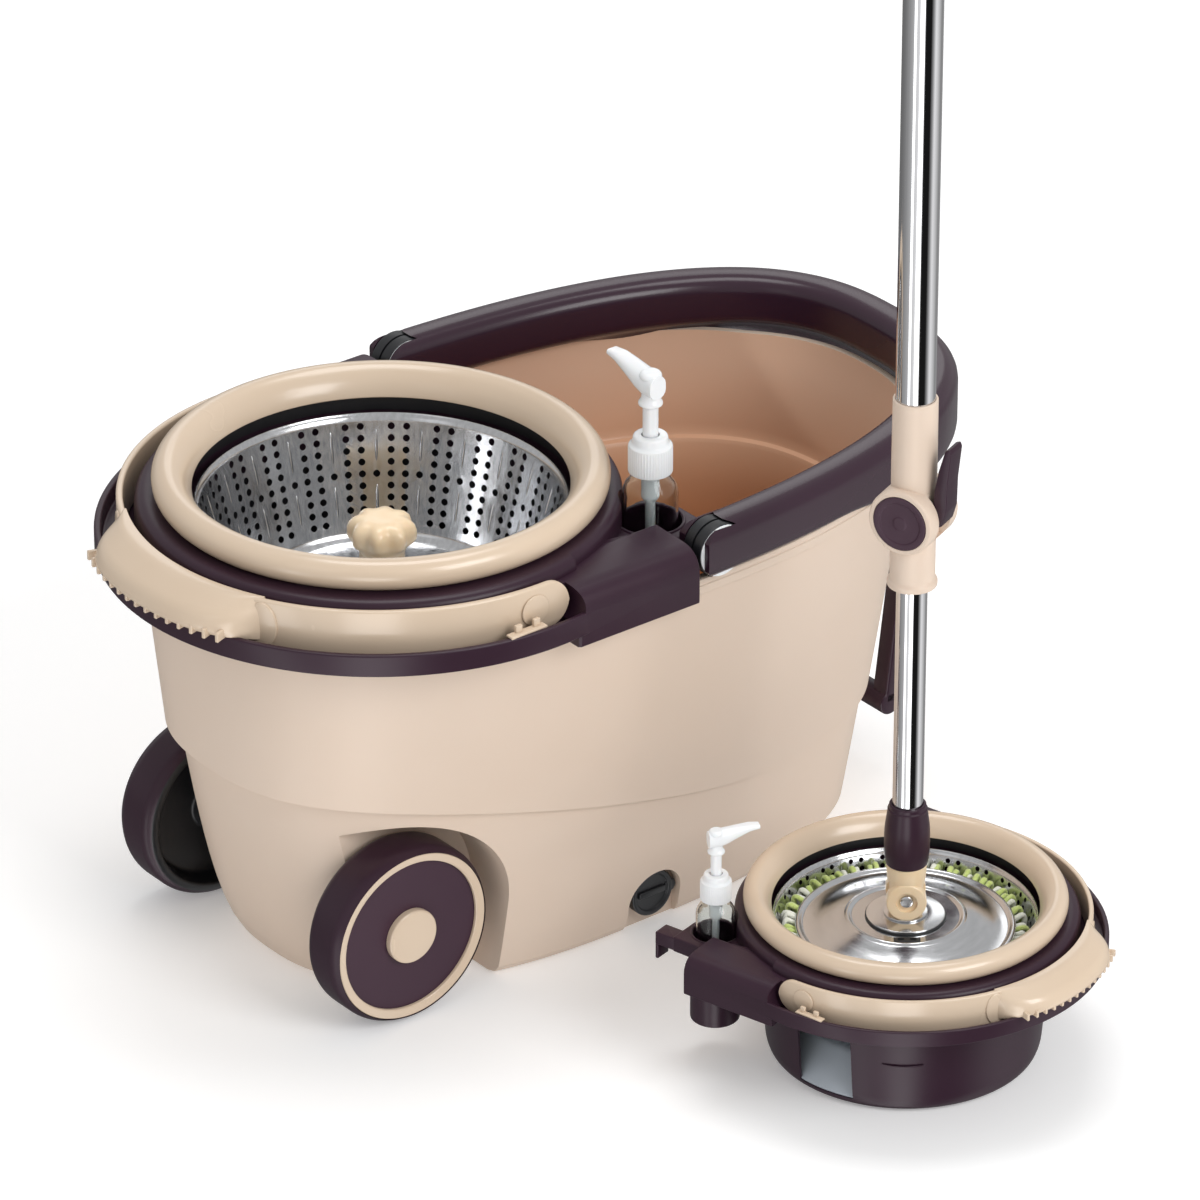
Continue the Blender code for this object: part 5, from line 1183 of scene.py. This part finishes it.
def buildKnuckle():
    k = knuckle
    lie = Matrix.Translation((0, 0, k["pinZ"])) @ Matrix.Rotation(pi / 2, 4, "Y")
    half = k["slot"] / 2 - 0.0003
    ear = moved(rod(0.0092, -half, half, 48, 0.0004), lie)
    leg = block(-half, half, -0.0060, 0.0060, mop["discTop"] + 0.0002, k["pinZ"], 0.0004)
    foot = shifted(rod(0.0125, 0, 0.0012, 48, 0.0005), 0, 0, mop["discTop"])
    base = joined(ear, leg)
    finish("knuckleBase", moved(base, mopPlace @ knuckleTurn), amberBody, "mop_head", "amber_plastic",
           ["knuckle_base"])
    finish("knuckleWasher", moved(foot, mopPlace), dishSteel, "mop_head", "polished_steel")
    barrel = spun(filleted([(0, k["pinZ"] - 0.002, 0), (0.0098, k["pinZ"] - 0.002, 0.001),
                            (0.0105, k["pinZ"] + 0.008, 0.002), (0.0112, k["pinZ"] + 0.014, 0.002),
                            (0.0115, k["top"] - 0.0003, 0.0008), (0.0080, k["top"] - 0.0003, 0), (0.0080, 0.1280, 0),
                            (0, 0.1280, 0)], closed=False), 64, closed=False)
    cheek = moved(rod(k["radius"], -0.0112, 0.0112, 56, 0.0012), lie)
    body = fused(barrel, cheek)
    body = cut(body, block(-k["slot"] / 2, k["slot"] / 2, -0.02, 0.02, k["pinZ"] - 0.02, k["pinZ"] + 0.0098))
    for side in (-1, 1):
        body = cut(body, moved(rod(0.0062, *sorted((side * 0.0088, side * 0.0140)), 48), lie))
    finish("knuckleFork", moved(body, mopPlace @ knuckleTurn), amberBody, "lower_pole", "amber_plastic", ["knuckle"],
           angle=30)
    for side, word in ((-1, "a"), (1, "b")):
        head = spun(filleted([(0, 0.0086, 0), (0.0040, 0.0086, 0), (0.0038, 0.0100, 0.0006),
                              (0.0022, 0.0106, 0.0006), (0.0018, 0.0097, 0.0003), (0, 0.0095, 0)],
                             closed=False), 40, closed=False)
        stand = lie @ (Matrix.Rotation(pi, 4, "X") if side < 0 else Matrix())
        shifted(head, 0, 0, 0)
        finish("knuckleRivet_" + word, moved(moved(head, Matrix.Rotation(0, 4, "Z")),
                                             mopPlace @ knuckleTurn @ stand), dishSteel, "lower_pole",
                                             "polished_steel")
    piece = frame["nodes"]["knuckle_pin"]
    piece.data.materials.clear()
    piece.data.materials.append(dishSteel)


# ---- pole

pole = {"lowR": 0.00865, "lowTop": 0.8000, "wall": 0.0008, "topR": 0.0111, "topTop": 1.1500, "ferruleR": 0.0129,
        "ferruleTop": 0.1560,
        "clampLow": 0.2947, "clampZ": 0.3395, "clampTop": 0.4096, "barrelR": 0.0194, "barrelHalf": 0.0168,
        "capR": 0.0159,
        "leverHalf": 0.0070, "gripR": 0.0150, "gripLow": 1.0200, "gripTop": 1.1800}
leverAxis = joints["clamp_lever_open"]["axis"]
clampTurn = Matrix.Rotation(atan2(leverAxis[1], leverAxis[0]), 4, "Z")


def buildPole():
    p = pole
    ferrule = spun(filleted([(0.0083, knuckle["top"], 0), (0.0119, knuckle["top"], 0.0006),
                             (p["ferruleR"], 0.1260, 0.004), (p["ferruleR"], 0.1400, 0.004),
                             (0.0113, 0.1515, 0.002), (0.0113, 0.1530, 0.0005), (0.0106, 0.1534, 0.0004),
                             (0.0104, p["ferruleTop"], 0.0008),
                             (p["lowR"] + 0.0003, p["ferruleTop"], 0), (p["lowR"] + 0.0003, 0.1305, 0),
                             (0.0083, 0.1285, 0)]), 72)
    finish("ferrule", moved(ferrule, mopPlace), purpleBody, "lower_pole", "purple_plastic", ["ferrule"])
    lower = spun([(p["lowR"], 0.1308), (p["lowR"], p["lowTop"]), (p["lowR"] - p["wall"], p["lowTop"]),
                  (p["lowR"] - p["wall"], 0.1308)], 96)
    finish("lowerTube", moved(lower, mopPlace), chromeTube, "lower_pole", "chromed_tube", ["lower_tube"])
    bottom = p["clampZ"] - 0.0100
    upper = spun([(p["topR"], bottom), (p["topR"], p["topTop"]), (p["topR"] - p["wall"], p["topTop"]),
                  (p["topR"] - p["wall"], bottom)], 96)
    finish("upperTube", moved(upper, mopPlace), chromeTube, "upper_pole", "chromed_tube", ["upper_tube"])
    for node, m in (("drive_nut", blackBody), ("rod_plug", blackBody), ("twist_rod", dishSteel),
                    ("clamp_pin", dishSteel), ("tow_pin", dishSteel)):
        piece = frame["nodes"][node]
        piece.data.materials.clear()
        piece.data.materials.append(m)


def buildClamp():
    p = pole
    place = mopPlace @ clampTurn
    lie = Matrix.Translation((0, 0, p["clampZ"])) @ Matrix.Rotation(pi / 2, 4, "Y")
    core = spun(filleted([(0, p["clampLow"], 0), (0.0140, p["clampLow"], 0.0012),
                          (0.0140, p["clampLow"] + 0.0034, 0.0008), (0.0126, p["clampLow"] + 0.0048, 0.0015),
                          (0.0126, p["clampZ"], 0.002), (0.0127, p["clampZ"] + 0.03, 0.002),
                          (0.0125, p["clampTop"], 0.0008), (0, p["clampTop"], 0)],
                         closed=False), 72, closed=False)
    barrel = moved(rod(p["barrelR"], -p["barrelHalf"], p["barrelHalf"], 80, 0.0022), lie)
    body = fused(core, barrel)
    body = cut(body, rod(p["lowR"] + 0.0003, p["clampLow"] - 0.01, p["clampTop"] + 0.01, 64),
               rod(p["topR"] + 0.0002, p["clampZ"] - 0.0103, p["clampTop"] + 0.01, 64))
    for side in (-1, 1):
        body = cut(body, moved(rod(p["capR"] + 0.0003, *sorted((side * (p["barrelHalf"] - 0.0012),
                side * (p["barrelHalf"] + 0.01))), 72), lie))
    half = p["leverHalf"] + 0.0003
    body = cut(body, block(-half, half, -0.03, -0.0121, p["clampZ"] - 0.0130, p["clampZ"] + 0.022))
    finish("clampBody", moved(body, place), beigeBody, "upper_pole", "beige_body", ["clamp_body"], angle=30)
    outline = [(0.0129, -0.0015), (0.0145, -0.0031), (0.0175, -0.0031), (0.0208, -0.0010), (0.0232, 0.0080),
               (0.0236, 0.0250), (0.0256, 0.0440), (0.0246, 0.0465),
               (0.0218, 0.0455), (0.0180, 0.0320), (0.0158, 0.0200), (0.0150, 0.0080), (0.0135, 0.0015)]
    lever = slab([(z, u) for u, z in outline], -p["leverHalf"], p["leverHalf"], 0.0007)
    stand = Matrix(((0, 0, 1, 0), (0, -1, 0, 0), (1, 0, 0, p["clampZ"]), (0, 0, 0, 1)))
    finish("clampLever", moved(lever, place @ stand), purpleBody, "lever", "purple_plastic", ["clamp_lever"])
    for side, word in ((1, "a"), (-1, "b")):
        face = spun(filleted([(0, p["barrelHalf"] - 0.0009, 0), (p["capR"], p["barrelHalf"] - 0.0009, 0),
                              (p["capR"], p["barrelHalf"] + 0.0006, 0.0006),
                              (0.0125, p["barrelHalf"] + 0.0004, 0.001), (0.0120, p["barrelHalf"] - 0.0001, 0.0004),
                              (0.0042, p["barrelHalf"] - 0.0001, 0.0004),
                              (0.0036, p["barrelHalf"] + 0.0003, 0.0004), (0, p["barrelHalf"] + 0.0003, 0)],
                              closed=False), 72, closed=False)
        stand = lie @ (Matrix() if side > 0 else Matrix.Rotation(pi, 4, "X"))
        finish("clampCap_" + word, moved(face, place @ stand), purpleDisc, "upper_pole", "purple_plastic",
               ["clamp_cap_" + word])


def buildGrip():
    p = pole
    inside = p["topR"] + 0.0003
    rings = [(p["gripR"] - 0.0012, p["gripLow"], 0.0006), (p["gripR"], p["gripLow"] + 0.004, 0.002)]
    for i in range(9):                                     # finger ridges up the handle
        z = p["gripLow"] + 0.020 + 0.013 * i
        rings += [(p["gripR"] - 0.0004, z - 0.003, 0.001), (p["gripR"] - 0.0014, z, 0.001),
                  (p["gripR"] - 0.0004, z + 0.003, 0.001)]
    profile = [(0, p["topTop"] + 0.0003, 0), (inside, p["topTop"] + 0.0003, 0), (inside, p["gripLow"], 0)] + rings
    profile += [(p["gripR"], p["gripTop"] - 0.018, 0.002), (p["gripR"] - 0.004, p["gripTop"] - 0.003, 0.004),
                (0.0060, p["gripTop"], 0.001), (0, p["gripTop"], 0)]
    body = spun(filleted(profile, closed=False, steps=3), 64, closed=False)
    eye = alongY(spun(filleted([(0.0130, -0.0030, 0.0012), (0.0130, 0.0030, 0.0012), (0.0080, 0.0030, 0.0010),
                                (0.0080, -0.0030, 0.0010)]), 56), 0, 0, p["gripTop"] + 0.0110)
    finish("poleGrip", moved(joined(body, eye), mopPlace), purpleBody, "upper_pole", "purple_plastic", ["grip"])


buildMopHead()
buildKnuckle()
buildPole()
buildClamp()
buildGrip()
print("mop ready")
